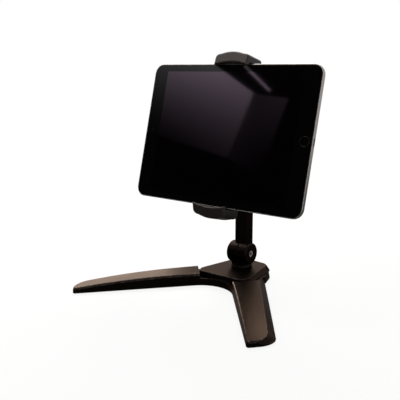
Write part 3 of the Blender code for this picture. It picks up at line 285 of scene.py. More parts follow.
# %% Plastic and rubber
PLASTIC_DARK = (0.0042, 0.0032, 0.0028)
PLASTIC_LIGHT = (0.0092, 0.0072, 0.0064)
PLASTIC_WORN_AND_HIGHLIGHTED_EDGE = (0.080, 0.066, 0.059)
PLASTIC_SHEEN = (1.0, 0.88, 0.83, 1.0)
RUBBER_DARK = (0.012, 0.012, 0.012)
RUBBER_LIGHT = (0.028, 0.027, 0.026)


def make_plastic():
    plastic = Finish("clamp_plastic", Specular_IOR_Level=0.2, Specular_Tint=PLASTIC_SHEEN)
    wear_and_highlight = worn_and_highlighted(plastic, 320.0)
    clouds = noise(plastic, 45.0, 4.0)
    plain = between(plastic, clouds, PLASTIC_DARK, PLASTIC_LIGHT)
    # Rounded edges get a lighter colour: wear and a painted highlight, such as the light line along
    # the jaw's lip.
    plastic.drive("Base Color", between(plastic, wear_and_highlight * 0.6, plain, PLASTIC_WORN_AND_HIGHLIGHTED_EDGE))
    plastic.drive("Roughness", 0.36 + 0.12 * clouds - 0.06 * wear_and_highlight)
    skin(plastic, noise(plastic, 2200.0, 2.0), 0.22, 0.20 * MM)
    return plastic.material


def make_rubber():
    rubber = Finish("black_rubber", Specular_IOR_Level=0.3)
    clouds = noise(rubber, 120.0, 4.0)
    rubber.drive("Base Color", between(rubber, clouds, RUBBER_DARK, RUBBER_LIGHT))
    rubber.drive("Roughness", 0.78 + 0.18 * clouds)
    skin(rubber, noise(rubber, 2600.0, 2.0), 0.3, 0.15 * MM)
    return rubber.material


PLASTIC = make_plastic()
RUBBER = make_rubber()
print("plastic nodes:", len(PLASTIC.node_tree.nodes), "rubber:", len(RUBBER.node_tree.nodes))

# %% [markdown]
# ## Steel, nylon and aluminium
# Bolts, nuts and spindles are bright steel whose turning marks are too fine to be told apart, so a
# fine noise stands in for them. A bolt's socket is marked, and there the steel gets a dark colour
# as painted shade.
# Friction washers are black nylon. The tablet's shell is blasted aluminium, dyed a warm grey:
# its grain is so fine that it only softens the reflection.

# %% Metals and nylon
STEEL_DARK = (0.56, 0.52, 0.50)
STEEL_LIGHT = (0.82, 0.78, 0.75)
STEEL_SOCKET_SHADE = (0.012, 0.010, 0.009)
NYLON_DARK = (0.014, 0.013, 0.012)
NYLON_LIGHT = (0.026, 0.025, 0.023)
SHELL_DARK = (0.235, 0.216, 0.204)
SHELL_LIGHT = (0.300, 0.278, 0.263)


def make_steel():
    steel = Finish("bright_steel", Metallic=1.0)
    clouds = noise(steel, 700.0, 3.0)
    bright = between(steel, clouds, STEEL_DARK, STEEL_LIGHT)
    # Faces inside a bolt's socket are coloured dark: painted shade of the recess.
    recess = steel.node("ShaderNodeAttribute", {"attribute_name": "recess"}, out="Fac")
    steel.drive("Base Color", between(steel, recess, bright, STEEL_SOCKET_SHADE))
    steel.drive("Roughness", 0.24 + 0.16 * clouds)
    skin(steel, noise(steel, 3200.0, 1.0), 0.15, 0.06 * MM)
    return steel.material


def make_nylon():
    nylon = Finish("black_nylon", Specular_IOR_Level=0.4)
    clouds = noise(nylon, 300.0)
    nylon.drive("Base Color", between(nylon, clouds, NYLON_DARK, NYLON_LIGHT))
    nylon.drive("Roughness", 0.5 + 0.2 * clouds)
    return nylon.material


def make_aluminium():
    shell = Finish("blasted_aluminium", Metallic=1.0)
    clouds = noise(shell, 18.0, 3.0)
    grain = noise(shell, 4200.0, 2.0)
    wear_and_highlight = worn_and_highlighted(shell, 200.0)
    # The edge mask makes rounded edges paler: wear and a painted edge highlight.
    paler = clouds * 0.7 + wear_and_highlight * 0.3
    shell.drive("Base Color", between(shell, paler, SHELL_DARK, SHELL_LIGHT))
    shell.drive("Roughness", 0.33 + 0.08 * grain - 0.05 * wear_and_highlight)
    skin(shell, grain, 0.10, 0.05 * MM)
    return shell.material


STEEL = make_steel()
NYLON = make_nylon()
ALUMINIUM = make_aluminium()
print("steel, nylon and aluminium made")

# %% [markdown]
# ## The tablet's inside
# The display panel, the cells and the board hide behind the glass, so one plain recipe with a
# cloudy colour and an uneven gloss does for all of them. The panel's black also serves the
# thin ring round the home button.

# %% Panel, cells and board
def make_inside(name, low, high, scale, rough):
    part = Finish(name, Specular_IOR_Level=0.2)
    clouds = noise(part, scale)
    part.drive("Base Color", between(part, clouds, low, high))
    part.drive("Roughness", rough + 0.15 * clouds)
    return part.material


PANEL = make_inside("display_back", (0.006, 0.006, 0.008), (0.011, 0.011, 0.013), 90.0, 0.3)
CELL = make_inside("cell_wrap", (0.080, 0.080, 0.088), (0.115, 0.115, 0.122), 60.0, 0.45)
BOARD = make_inside("board_lacquer", (0.012, 0.075, 0.045), (0.022, 0.105, 0.062), 220.0, 0.4)
print("inside finishes:", PANEL.name, CELL.name, BOARD.name)

# %% [markdown]
# ## The front glass
# One sheet covers the whole front. Its black border is printed on the back of the glass, while
# over the display the glass is bonded to a panel that throws back a faint violet. So the
# finish is two glossy shaders, and the mask that chooses between them is a rectangle measured
# in the screen's own frame: a Mapping node undoes the lean of the screen, and then x and y are
# distances on the glass. A small round mask draws the front camera in the left border.

# %% Glass
SCREEN_MIDDLE = Vector((0.0029, -0.048631, 0.189949))
SCREEN_UP = Vector((0.0, 0.255446, 0.966823))
SCREEN_OUT = Vector((0.0, -0.966823, 0.255446))
SCREEN_TURN = math.atan2(SCREEN_UP.z, SCREEN_UP.y)
DISPLAY_HALF_WIDTH = 98.5 * MM
DISPLAY_HALF_HEIGHT = 75.5 * MM
FRONT_CAMERA_X = -110.0 * MM
FRONT_CAMERA_RADIUS = 1.6 * MM
BORDER_BLACK = (0.0011, 0.0010, 0.0012)
FRONT_CAMERA_BLUE = (0.0030, 0.0032, 0.0050)
PANEL_BLACK = (0.0006, 0.0004, 0.0006, 1.0)
PANEL_VIOLET = (1.0, 0.75, 1.0, 1.0)


def screen_axes(finish):
    """x and y on the glass, in metres from its middle."""
    sockets = {"Vector": place_on_stand(finish), "Location": SCREEN_MIDDLE,
               "Rotation": (SCREEN_TURN, 0.0, 0.0)}
    flat = finish.node("ShaderNodeMapping", {"vector_type": "TEXTURE"}, sockets)
    x = finish.node("ShaderNodeSeparateXYZ", {}, {0: flat}, out="X")
    return x, x.beside("Y")


def make_glass():
    glass = Finish("front_glass", IOR=1.5, Specular_IOR_Level=0.17)
    x, y = screen_axes(glass)
    in_width = (DISPLAY_HALF_WIDTH - x.size()).above(0.0)
    in_height = (DISPLAY_HALF_HEIGHT - y.size()).above(0.0)
    off = x - FRONT_CAMERA_X
    near_camera = FRONT_CAMERA_RADIUS * FRONT_CAMERA_RADIUS - (off * off + y * y)
    border = between(glass, near_camera.above(0.0), BORDER_BLACK, FRONT_CAMERA_BLUE)
    smears = noise(glass, 16.0, 5.0, 0.6)
    glass.drive("Base Color", border)
    glass.drive("Roughness", 0.015 + 0.05 * smears)
    panel = glass.node("ShaderNodeBsdfPrincipled", {}, {
        "Base Color": PANEL_BLACK, "Roughness": 0.02 + 0.06 * smears,
        "IOR": 1.52, "Specular Tint": PANEL_VIOLET})
    glass.show(glass.mix(in_width * in_height, glass.gloss, panel))
    return glass.material


GLASS = make_glass()
print("glass made; screen leans", round(90 - math.degrees(SCREEN_TURN), 1), "degrees")

# %% [markdown]
# ## Rounding the edges of the solids
# No casting or moulding has a knife edge, and the thin light line along a rounded edge is
# what makes a dark object readable. The solids could be modelled again, but their shapes are
# right, so each one is copied, its loose triangles are merged and its flat faces joined, and
# a Bevel modifier rounds every edge sharper than a limit. The modifier also marks the faces
# it makes, and that mark becomes the edge mask of the finishes.

# %% Copy a solid and join its faces
MERGE_DISTANCE = 0.002 * MM
FLAT_ANGLE = math.radians(0.4)


def pick(piece):
    """Make one piece the only selected and active one."""
    bpy.ops.object.select_all(action="DESELECT")
    piece.select_set(True)
    bpy.context.view_layer.objects.active = piece


def merged_copy(node, name):
    """A copy of a solid with its triangles merged into flat faces."""
    piece = bpy.data.objects.new(name, frame["nodes"][node].data.copy())
    bpy.context.scene.collection.objects.link(piece)
    piece.data.materials.clear()
    pick(piece)
    bpy.ops.object.mode_set(mode="EDIT")
    bpy.ops.mesh.select_all(action="SELECT")
    bpy.ops.mesh.remove_doubles(threshold=MERGE_DISTANCE)
    bpy.ops.mesh.dissolve_limited(angle_limit=FLAT_ANGLE)
    bpy.ops.object.mode_set(mode="OBJECT")
    return piece


print("faces within", round(math.degrees(FLAT_ANGLE), 1), "degrees are joined")

# %% Round the edges and mark them
SHARP_ANGLE = math.radians(34.0)
EDGE_SEGMENTS = 2
FLAT_FACE_WEIGHT = 100


def round_edges(piece, width):
    """Bevel the sharp edges and keep the new faces as an edge mask."""
    # A second slot is where the modifier puts the faces that it makes
    while len(piece.data.materials) < 2:
        piece.data.materials.append(PAINT)
    pick(piece)
    bevel = piece.modifiers.new("rounded edges", "BEVEL")
    bevel.width = width
    bevel.segments = EDGE_SEGMENTS
    bevel.limit_method = "ANGLE"
    bevel.angle_limit = SHARP_ANGLE
    bevel.use_clamp_overlap = False
    bevel.material = 1
    bpy.ops.object.modifier_apply(modifier=bevel.name)
    faces = piece.data.polygons
    marks = np.zeros(len(faces), np.int32)
    faces.foreach_get("material_index", marks)
    mask = piece.data.attributes.new("edge", "FLOAT", "FACE")
    mask.data.foreach_set("value", marks.astype(np.float32))
    faces.foreach_set("material_index", np.zeros(len(faces), np.int32))
    piece.data.materials.clear()
    bpy.ops.object.shade_smooth_by_angle(angle=SHARP_ANGLE)
    flatten = piece.modifiers.new("flat faces stay flat", "WEIGHTED_NORMAL")
    flatten.mode = "FACE_AREA"
    flatten.weight = FLAT_FACE_WEIGHT
    flatten.keep_sharp = True
    bpy.ops.object.modifier_apply(modifier=flatten.name)


print("edges over", round(math.degrees(SHARP_ANGLE)), "degrees are rounded")

# %% Dress a piece
def dress(piece, finish, body, slot, *nodes):
    """Give a piece its finish, its body and the solids it stands for. The slot is not used."""
    piece.data.materials.clear()
    piece.data.materials.append(finish)
    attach(piece, body)
    if nodes:
        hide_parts(*nodes)
    print(piece.name, "rides on", body, "with", len(piece.data.polygons), "faces")
    return piece


def rounded(node, name, width, finish, body, slot):
    """A dressed copy of a solid, with its edges rounded."""
    piece = merged_copy(node, name)
    round_edges(piece, width)
    return dress(piece, finish, body, slot, node)


print("helpers ready: copy, round, dress")

# %% [markdown]
# ## The painted castings
# The foot and the block are sand-blasted castings with fairly full edges. The turret, the arm
# and the head are machined at the knuckles, so their edges are tighter.

# %% Foot, block, turret, arm and head
FOOT_EDGE = 0.7 * MM
BLOCK_EDGE = 0.6 * MM
ARM_EDGE = 0.4 * MM
KNUCKLE_EDGE = 0.35 * MM

rounded("v_foot", "painted_foot", FOOT_EDGE, PAINT, "foot", "dark_casting")
rounded("mount_block", "painted_block", BLOCK_EDGE, PAINT, "mount", "dark_casting")
rounded("turret", "painted_turret", KNUCKLE_EDGE, PAINT, "turret", "dark_casting")
rounded("arm", "painted_arm", ARM_EDGE, PAINT, "arm", "dark_casting")
rounded("tilt_head", "painted_head", KNUCKLE_EDGE, PAINT, "head", "dark_casting")

# %% [markdown]
# ## The clamp
# Jaws and sleeve are plastic mouldings. A mould needs a radius of about half a millimetre on
# every outer edge, so the same helper does them.

# %% Sleeve and jaws
MOULD_EDGE = 0.5 * MM

rounded("clamp_sleeve", "moulded_sleeve", MOULD_EDGE, PLASTIC, "holder", "clamp_plastic")
rounded("lower_jaw", "moulded_lower_jaw", MOULD_EDGE, PLASTIC, "holder", "clamp_plastic")
rounded("upper_jaw", "moulded_upper_jaw", MOULD_EDGE, PLASTIC, "upper_jaw", "clamp_plastic")

# %% [markdown]
# ## The tablet's shell and glass
# The shell's front rim has a polished chamfer, and the sheet of glass has a tiny ground edge.
# The keys are cut from the same aluminium, and the home button from the same glass.

# %% Shell, glass and keys
RIM_EDGE = 0.14 * MM
GLASS_EDGE = 0.12 * MM
KEY_EDGE = 0.25 * MM

rounded("tablet_housing", "blasted_shell", RIM_EDGE, ALUMINIUM, "tablet", "tablet_shell")
rounded("front_glass", "ground_glass", GLASS_EDGE, GLASS, "tablet", "screen_glass")
for key in ("power_key", "volume_up_key", "volume_down_key"):
    rounded(key, key.replace("key", "bar"), KEY_EDGE, ALUMINIUM, key, "tablet_shell")
rounded("home_button", "home_dish", GLASS_EDGE, GLASS, "home_button", "screen_glass")

# %% [markdown]
# ## Fasteners, pads and feet
# Socket bolts, nuts, rubber feet and rubber pads are bought or stamped parts. Their shapes are
# already in the solids, and what is missing is the small chamfer of a turned bolt head and the soft
# edge of moulded rubber. The rounding helper adds both. The faces inside the hexagon socket of a
# bolt are marked, and the steel there is darkened as painted shade.

# %% Mark the socket of a bolt
SOCKET_RADIUS = 2.4 * MM
SOCKET_TOP = 0.25 * MM
SOCKET_DEPTH = 2.6 * MM


def mark_socket(bolt):
    """Mark the faces inside the socket, which is in the end that faces +X, where the steel gets
    painted shade.
    """
    places = np.array([vertex.co for vertex in bolt.data.vertices])
    middle = (places.min(axis=0) + places.max(axis=0)) / 2
    end = places[:, 0].max()
    marks = []
    for face in bolt.data.polygons:
        depth = end - face.center.x
        off_axis = math.hypot(face.center.y - middle[1], face.center.z - middle[2])
        marks.append(float(SOCKET_TOP < depth < SOCKET_DEPTH and off_axis < SOCKET_RADIUS))
    bolt.data.attributes.new("recess", "FLOAT", "FACE").data.foreach_set("value", marks)
    print(bolt.name, "has", int(sum(marks)), "faces in its socket")


print("a socket lies within", round(SOCKET_RADIUS / MM, 1), "mm of the bolt's axis")

# %% Bolts, nuts, feet and pads
BOLT_EDGE = 0.18 * MM
NUT_EDGE = 0.25 * MM
CUSHION_EDGE = 0.40 * MM
PAD_EDGE = 0.30 * MM

for knuckle, body in (("lower_knuckle", "turret"), ("upper_knuckle", "head")):
    bolt = knuckle + "_bolt"
    mark_socket(rounded(bolt, knuckle + "_socket_bolt", BOLT_EDGE, STEEL, body, "steel"))
    rounded(knuckle + "_nut", knuckle + "_lock_nut", NUT_EDGE, STEEL, body, "steel")
for foot in ("hub_foot", "left_near_foot", "left_tip_foot", "right_near_foot", "right_tip_foot"):
    rounded(foot, foot.replace("foot", "cushion"), CUSHION_EDGE, RUBBER, "foot", "rubber")
for pad in ("upper_back_pad", "lower_back_pad", "lower_jaw_pad"):
    rounded(pad, "soft_" + pad, PAD_EDGE, RUBBER, "holder", "rubber")
rounded("upper_jaw_pad", "soft_upper_jaw_pad", PAD_EDGE, RUBBER, "upper_jaw", "rubber")

# %% [markdown]
# ## Screws with a cross recess
# Two pan-head screws hold the lower jaw in the sleeve, and their heads show on the back. The
# solid is only a stepped cylinder. Here a screw is modelled as one would by hand: a cylinder
# for the head, a bevel on its outer rim, an inset and an extrusion for the shank, and a
# cross cut by two tapered bars. Pieces on the screen are drawn flat at the origin first and
# then put in their place with one matrix, which is applied so that the place is in the mesh.

# %% Helpers for hand modelling
UP, DOWN = 1.0, -1.0
FACING = 0.9


def glass_point(x, y):
    """Point on the front glass, from millimetres across and up."""
    return SCREEN_MIDDLE + Vector((x * MM, 0.0, 0.0)) + SCREEN_UP * (y * MM)


def select_faces(piece, side):
    """Edit a piece with only those faces selected that look up or down."""
    if bpy.context.mode != "OBJECT":
        bpy.ops.object.mode_set(mode="OBJECT")
    pick(piece)
    bpy.ops.object.mode_set(mode="EDIT")
    bpy.ops.mesh.select_mode(type="FACE")
    bpy.ops.mesh.select_all(action="DESELECT")
    bpy.ops.object.mode_set(mode="OBJECT")
    for face in piece.data.polygons:
        face.select = face.normal.z * side > FACING
    bpy.ops.object.mode_set(mode="EDIT")


def fix_place(piece):
    """Put the place, the turn and the scale of a piece into its mesh."""
    pick(piece)
    bpy.ops.object.transform_apply(location=True, rotation=True, scale=True)


def set_on_screen(piece, x, y, depth):
    """Move a piece drawn at the origin to its place on the screen, in millimetres."""
    turn = Matrix((Vector((1.0, 0.0, 0.0)), SCREEN_UP, SCREEN_OUT)).transposed().to_4x4()
    place = glass_point(x, y) + SCREEN_OUT * (depth * MM)
    piece.matrix_world = Matrix.Translation(place) @ turn
    fix_place(piece)


def cut_away(piece, cutter):
    """Cut one closed piece out of another and remove the cutter."""
    pick(piece)
    cut = piece.modifiers.new("cut", "BOOLEAN")
    cut.operation = "DIFFERENCE"
    cut.solver = "EXACT"
    cut.object = cutter
    bpy.ops.object.modifier_apply(modifier=cut.name)
    bpy.data.objects.remove(cutter, do_unlink=True)


def smooth(piece):
    pick(piece)
    bpy.ops.object.shade_smooth_by_angle(angle=SHARP_ANGLE)


print("hand modelling helpers ready")

# %% Model a screw
SCREW_SIDES = 40
SCREW_HEAD_RADIUS = 3.4 * MM
SCREW_HEAD_HEIGHT = 1.6 * MM
SCREW_HEAD_ROUND = 0.55 * MM
SCREW_HEAD_SEGMENTS = 4
SCREW_SHANK_RADIUS = 2.0 * MM
SCREW_REACH = 6.0 * MM
SCREW_END_CHAMFER = 0.4 * MM
CROSS_LENGTH = 3.6 * MM
CROSS_WIDTH = 0.95 * MM
CROSS_DEPTH = 1.1 * MM
CROSS_TAPER = 0.62


def cross_bar(turn):
    """Tapered bar that cuts one stroke of the cross."""
    bpy.ops.mesh.primitive_cube_add(size=1.0, location=(0.0, 0.0, -SCREW_HEAD_HEIGHT))
    bar = bpy.context.object
    bar.scale = (CROSS_LENGTH, CROSS_WIDTH, 2 * CROSS_DEPTH)
    bar.rotation_euler = (0.0, 0.0, turn)
    fix_place(bar)
    select_faces(bar, UP)
    bpy.ops.transform.resize(value=(CROSS_TAPER, CROSS_TAPER, 1.0))
    bpy.ops.object.mode_set(mode="OBJECT")
    return bar


def model_screw(name):
    """Screw round the Z axis, with its head from z = 0 down and its shank above."""
    bpy.ops.mesh.primitive_cylinder_add(
        vertices=SCREW_SIDES, radius=SCREW_HEAD_RADIUS, depth=SCREW_HEAD_HEIGHT,
        location=(0.0, 0.0, -SCREW_HEAD_HEIGHT / 2))
    screw = bpy.context.object
    screw.name = name
    fix_place(screw)
    select_faces(screw, DOWN)
    bpy.ops.mesh.bevel(offset=SCREW_HEAD_ROUND, segments=SCREW_HEAD_SEGMENTS, affect="EDGES")
    select_faces(screw, UP)
    bpy.ops.mesh.inset(thickness=SCREW_HEAD_RADIUS - SCREW_SHANK_RADIUS)
    bpy.ops.mesh.extrude_region_move(TRANSFORM_OT_translate={"value": (0.0, 0.0, SCREW_REACH)})
    bpy.ops.mesh.bevel(offset=SCREW_END_CHAMFER, segments=1, affect="EDGES")
    bpy.ops.object.mode_set(mode="OBJECT")
    cut_away(screw, cross_bar(0.0))
    cut_away(screw, cross_bar(math.pi / 2))
    smooth(screw)
    return screw


left_screw = model_screw("left_cross_screw")
print("screw modelled:", in_mm(left_screw.dimensions), "mm")

# %% Copy the screw and set both in place
SCREW_OUT = 11.0
SCREW_LOW = -38.0
SCREW_BACK = -22.0
LEFT_TURN = 0.35
RIGHT_TURN = -0.6

right_screw = left_screw.copy()
right_screw.name = "right_cross_screw"
right_screw.data = left_screw.data.copy()
bpy.context.scene.collection.objects.link(right_screw)
for screw, node, turn, x in ((left_screw, "left_jaw_screw", LEFT_TURN, -SCREW_OUT),
                             (right_screw, "right_jaw_screw", RIGHT_TURN, SCREW_OUT)):
    screw.rotation_euler = (0.0, 0.0, turn)
    fix_place(screw)
    set_on_screen(screw, x, SCREW_LOW, SCREW_BACK)
    dress(screw, STEEL, "holder", "steel", node)
    low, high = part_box(node)
    print(node, "solid spans", in_mm(high - low), "mm, piece", in_mm(screw.dimensions))

# %% [markdown]
# ## The camera on the back and the ring round the home button
# The rear camera is a dark window in a turned metal ring, and the home button sits in a thin
# dark ring. A ring could be a torus, but these have square shoulders, so each starts as an
# open tube that the Solidify modifier gives a wall, and a small bevel breaks its edges. The
# window is a disc whose face is inset twice, so that a rim stands out round a shallow dish.

# %% A helper for rings
RING_SIDES = 64
RING_BEVEL_SHARE = 0.25


def model_ring(name, radius, wall, height):
    """Square-shouldered ring round the Z axis, from z = 0 down."""
    bpy.ops.mesh.primitive_cylinder_add(
        vertices=RING_SIDES, radius=radius, depth=height, end_fill_type="NOTHING",
        location=(0.0, 0.0, -height / 2))
    ring = bpy.context.object
    ring.name = name
    fix_place(ring)
    thick = ring.modifiers.new("wall", "SOLIDIFY")
    thick.thickness = wall
    thick.offset = -1.0
    bpy.ops.object.modifier_apply(modifier=thick.name)
    edges = ring.modifiers.new("broken edges", "BEVEL")
    edges.width = wall * RING_BEVEL_SHARE
    edges.segments = EDGE_SEGMENTS
    edges.limit_method = "ANGLE"
    bpy.ops.object.modifier_apply(modifier=edges.name)
    smooth(ring)
    return ring


print("rings have", RING_SIDES, "sides")

# %% Model the rings
HOME_PLACE = (110.0, 0.0)
HOME_RING_DEPTH = -0.12
HOME_RING_RADIUS = 5.84 * MM
HOME_RING_WALL = 0.18 * MM
HOME_RING_HEIGHT = 0.80 * MM
BACK_DEPTH = -7.5
LENS_PLACE = (-107.0, 72.0)
LENS_RING_LIFT = 1.4
LENS_RING_RADIUS = 4.0 * MM
LENS_RING_WALL = 0.9 * MM
LENS_RING_HEIGHT = 1.4 * MM

home_ring = model_ring("home_ring", HOME_RING_RADIUS, HOME_RING_WALL, HOME_RING_HEIGHT)
set_on_screen(home_ring, *HOME_PLACE, HOME_RING_DEPTH)
dress(home_ring, PANEL, "tablet", "panel")

lens_ring = model_ring("lens_ring", LENS_RING_RADIUS, LENS_RING_WALL, LENS_RING_HEIGHT)
set_on_screen(lens_ring, *LENS_PLACE, BACK_DEPTH + LENS_RING_LIFT)
dress(lens_ring, ALUMINIUM, "tablet", "tablet_shell", "rear_camera")

# %% Model the window of the lens
WINDOW_SIDES = 48
WINDOW_RADIUS = 3.05 * MM
WINDOW_THICK = 0.9 * MM
WINDOW_LIFT = 0.75
RIM_INSET = 0.5 * MM
RIM_RISE = 0.12 * MM
DISH_INSET = 1.0 * MM
DISH_SINK = 0.25 * MM

bpy.ops.mesh.primitive_cylinder_add(vertices=WINDOW_SIDES, radius=WINDOW_RADIUS, depth=WINDOW_THICK)
lens = bpy.context.object
lens.name = "lens_window"
select_faces(lens, DOWN)
bpy.ops.mesh.inset(thickness=RIM_INSET)
bpy.ops.transform.translate(value=(0.0, 0.0, -RIM_RISE))
bpy.ops.mesh.inset(thickness=DISH_INSET)
bpy.ops.transform.translate(value=(0.0, 0.0, DISH_SINK))
bpy.ops.object.mode_set(mode="OBJECT")
smooth(lens)
set_on_screen(lens, *LENS_PLACE, BACK_DEPTH + WINDOW_LIFT)
dress(lens, GLASS, "tablet", "screen_glass", "rear_camera")

# %% [markdown]
# ## Finishes for the solids that stay
# Washers, springs, spindles and the tablet's inside keep their solids, and only their
# material slots change. The record says which slot each node takes its finish from.

# %% Dress the remaining solids
SLOT_FINISH = {
    "dark_casting": PAINT, "clamp_plastic": PLASTIC, "rubber": RUBBER, "steel": STEEL,
    "nylon": NYLON, "tablet_shell": ALUMINIUM, "screen_glass": GLASS, "panel": PANEL,
    "cell": CELL, "board": BOARD,
}
for part in frame["record"]["subparts"]:
    for slot in frame["nodes"][part["node"]].material_slots:
        slot.material = SLOT_FINISH[part["material_slot"]]

# %% [markdown]
# ## The studio
# The photograph has a clean white ground. A floor that is lit until it burns out would also
# burn the object, so the white is given only to rays that come from the lens, from glossy
# and from clear surfaces, at a strength of exactly one. The floor keeps a share of its real,
# lit surface, so the stand still sits in its own soft shadow, and it fades out before the
# horizon so that no line crosses the picture.

# %% The room
WHITE = (1.0, 1.0, 1.0, 1.0)
ROOM_COLOUR = (1.0, 0.985, 0.965, 1.0)
ROOM_FILL = 0.42


def seen_white(graph):
    """1 for camera, glossy and transmission rays."""
    camera_ray = graph.node("ShaderNodeLightPath", out="Is Camera Ray")
    mirrored_ray = camera_ray.beside("Is Glossy Ray")
    clear_ray = camera_ray.beside("Is Transmission Ray")
    return camera_ray.most(mirrored_ray).most(clear_ray)


world = bpy.data.worlds.new("quiet_room")
bpy.context.scene.world = world
world.use_nodes = True
room = Graph(world.node_tree)
fill = world.node_tree.nodes["Background"]
room.feed(fill.inputs["Color"], ROOM_COLOUR)
room.feed(fill.inputs["Strength"], ROOM_FILL)
white = room.node("ShaderNodeBackground", {}, {"Color": WHITE, "Strength": 1.0})
room.show(room.mix(seen_white(room), Wire(room, fill.outputs[0]), white))
print("room fill", ROOM_FILL)

# %% The floor
FLOOR_RADIUS = 1.6
FLOOR_SIDES = 96
FLOOR_GREY = (0.58, 0.58, 0.58, 1.0)
FLOOR_WHITE = 0.86
FADE_FROM = 0.38
FADE_TO = 1.0

bpy.ops.object.select_all(action="DESELECT")
bpy.ops.mesh.primitive_circle_add(
    vertices=FLOOR_SIDES, radius=FLOOR_RADIUS, fill_type="NGON", location=(0.0, 0.0, 0.0))
floor = bpy.context.object
floor.name = "pale_floor"
pale = Finish("pale_floor", Base_Color=FLOOR_GREY, Roughness=0.9, Specular_IOR_Level=0.0)
glow = pale.node("ShaderNodeEmission", {}, {"Color": WHITE, "Strength": 1.0})
lit = pale.mix(seen_white(pale) * FLOOR_WHITE, pale.gloss, glow)
reach = pale.node("ShaderNodeVectorMath", {"operation": "LENGTH"},
                  {0: place_on_stand(pale)}, out="Value")
fade = pale.node("ShaderNodeMapRange", {"interpolation_type": "SMOOTHSTEP"},
                 {"Value": reach, "From Min": FADE_FROM, "From Max": FADE_TO})
pale.show(pale.mix(fade, lit, pale.node("ShaderNodeBsdfTransparent")))
floor.data.materials.append(pale.material)
print("floor white share", FLOOR_WHITE, "fading from", FADE_FROM, "to", FADE_TO, "m")

# %% [markdown]
# ## Lamps
# Five soft lamps light the stand. A large panel hangs above it on the left, as a ceiling light
# does, and a weak lamp fills from the right. A key in front lights the jaws and the knuckle, a
# softbox behind draws its light along the right leg, and a low strip does so for the left leg.
# The level was measured with grey balls: faces that look up get about 1.5 times, and faces
# towards the lens about 0.7 times, the light at which a colour looks as it is written.

# %% Hang the lamps
STRIP_HEIGHT = 0.26


def hang_lamp(name, place, target, size, watts, colour):
    """A square soft lamp at a place, aimed at a target."""
    bpy.ops.object.light_add(type="AREA", location=place)
    lamp = bpy.context.object
    lamp.name = name
    lamp.data.shape = "SQUARE"
    lamp.data.size = size
    lamp.data.energy = watts
    lamp.data.color = colour
    aim = Vector(target) - Vector(place)
    lamp.rotation_euler = aim.to_track_quat("-Z", "Y").to_euler()
    print(name, watts, "W at", round(aim.length, 2), "m")
    return lamp


hang_lamp("ceiling_panel", (-0.50, 0.10, 1.15), (0.0, -0.05, 0.1),
          0.9, 14.0, (1.0, 0.98, 0.95))
hang_lamp("right_fill", (1.1, -0.5, 0.7), (0.0, -0.05, 0.12),
          0.6, 1.0, (1.0, 0.99, 0.98))
hang_lamp("front_key", (-0.60, -0.90, 1.10), (0.0, -0.05, 0.20),
          0.5, 7.0, (1.0, 0.97, 0.95))
hang_lamp("back_softbox", (-0.29, 0.52, 0.77), (0.13, -0.15, 0.01),
          0.40, 7.0, (1.0, 0.97, 0.95))
strip = hang_lamp("low_strip", (-0.88, 0.52, 0.30), (-0.10, -0.14, 0.02),
                  0.45, 2.6, (1.0, 0.97, 0.94))
strip.data.shape = "RECTANGLE"
strip.data.size_y = STRIP_HEIGHT

# %% [markdown]
# ## The window in the glass
# In the photograph the glass is black, because the room in front of it is dark, and a window
# glows in its upper left corner. The law of reflection tells where such a window has to be: a
# ray from the lens to a point on the glass is mirrored there and followed to a plane in front
# of the screen. A nearly black card on that plane is the dark room, and three glowing panes
# just in front of the card are the window. Only reflections see them.

# %% Follow the mirrored rays
CARD_DISTANCE = 0.75
CARD_AIM = (9.0, -12.0)


def mirrored(x, y):
    """Ray from a point of the glass to what the lens sees there."""
    start = glass_point(x, y)
    way = (start - CAMERA_PLACE).normalized()
    return start, way - 2.0 * way.dot(SCREEN_OUT) * SCREEN_OUT


card_start, card_way = mirrored(*CARD_AIM)
card_middle = card_start + card_way * CARD_DISTANCE


def on_card(x, y, nearer):
    """Where the lens sees the card when it looks at a point of the glass."""
    start, way = mirrored(x, y)
    plane = card_middle - card_way * nearer
    return start + way * ((plane - start).dot(card_way) / way.dot(card_way))


print("card is", round(card_middle.length, 2), "m from the origin")

# %% Cards that glow
CARD_GRID = 7
BLACK = (0.0, 0.0, 0.0)
GLOW_COLOUR = (1.0, 0.96, 0.98)


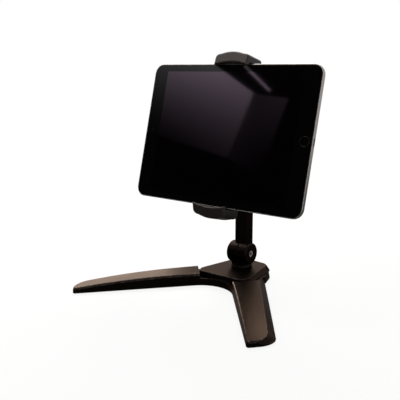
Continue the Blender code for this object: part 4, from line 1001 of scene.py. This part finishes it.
def glow_card(name, spots, glow, fall=1.0):
    """A card between four spots, with a glow at each that blends, faster with a higher fall."""
    bpy.ops.mesh.primitive_grid_add(x_subdivisions=CARD_GRID, y_subdivisions=CARD_GRID, size=2.0)
    card = bpy.context.object
    card.name = name
    brightest = max(glow) ** fall
    shine = card.data.attributes.new("glow", "FLOAT", "POINT")
    for vertex in card.data.vertices:
        s = (vertex.co.x + 1.0) / 2.0
        t = (vertex.co.y + 1.0) / 2.0
        shares = ((1 - s) * (1 - t), s * (1 - t), s * t, (1 - s) * t)
        vertex.co = sum((Vector(spot) * share for spot, share in zip(spots, shares)), Vector())
        level = sum(value * share for value, share in zip(glow, shares)) ** fall
        shine.data[vertex.index].value = level / brightest
    finish = Finish(name)
    share = finish.node("ShaderNodeAttribute", {"attribute_name": "glow"}, out="Fac")
    colour = between(finish, share, BLACK, GLOW_COLOUR)
    light = {"Color": colour, "Strength": brightest}
    finish.show(finish.node("ShaderNodeEmission", {}, light))
    card.data.materials.append(finish.material)
    card.visible_camera = False
    card.visible_diffuse = False
    card.visible_shadow = False
    print(name, "glows up to", round(brightest, 3))


print("cards have", CARD_GRID, "by", CARD_GRID, "faces")

# %% Hang the window
PANE_NEARER = 0.01
WINDOW_FALL = 3.0


def glass_card(name, corners, nearer, glow):
    """A card whose corners are given as places on the glass, in millimetres."""
    glow_card(name, [on_card(x, y, nearer) for x, y in corners], glow, WINDOW_FALL)


# Corners and glows run low left, low right, high right, high left
glass_card("dark_room", [(-330, -260), (330, -260), (330, 150), (-330, 150)],
           0.0, (0.12, 0.12, 0.12, 0.12))
glass_card("main_pane", [(-150, 2), (13.7, -26.4), (35.4, 50.9), (-150, 150)],
           PANE_NEARER, (0.21, 0.46, 1.07, 1.57))
glass_card("side_pane", [(15.5, -27), (60, -45), (82, 46), (37, 50)],
           PANE_NEARER, (0.38, 0.15, 0.60, 0.52))
glass_card("top_bar", [(16, 81.3), (55.5, 52.5), (57.5, 55.1), (18, 83.9)],
           PANE_NEARER, (1.3, 1.1, 1.1, 1.3))

# %% [markdown]
# ## Black flags
# A photographer gives a dark object dark sides with black flags: cards that only its shiny
# surfaces mirror. Upright sides and undersides mirror the ground round the stand, so one flag
# lies there, and another stands low behind the stand for the edges that mirror the horizon.

# %% Set up the flags
BACK_FLAG_TOP = 0.20
GROUND_FLAG_LIFT = 0.0006

glow_card("back_flag", [
    (-1.25, 0.55, 0.0), (0.10, 1.35, 0.0),
    (0.10, 1.35, BACK_FLAG_TOP), (-1.25, 0.55, BACK_FLAG_TOP)], (0.03, 0.03, 0.5, 0.5))
glow_card("ground_flag", [
    (-0.60, -0.55, GROUND_FLAG_LIFT), (0.75, -0.45, GROUND_FLAG_LIFT),
    (0.85, 0.90, GROUND_FLAG_LIFT), (-0.60, 0.90, GROUND_FLAG_LIFT)], (0.30, 0.15, 0.03, 0.10))
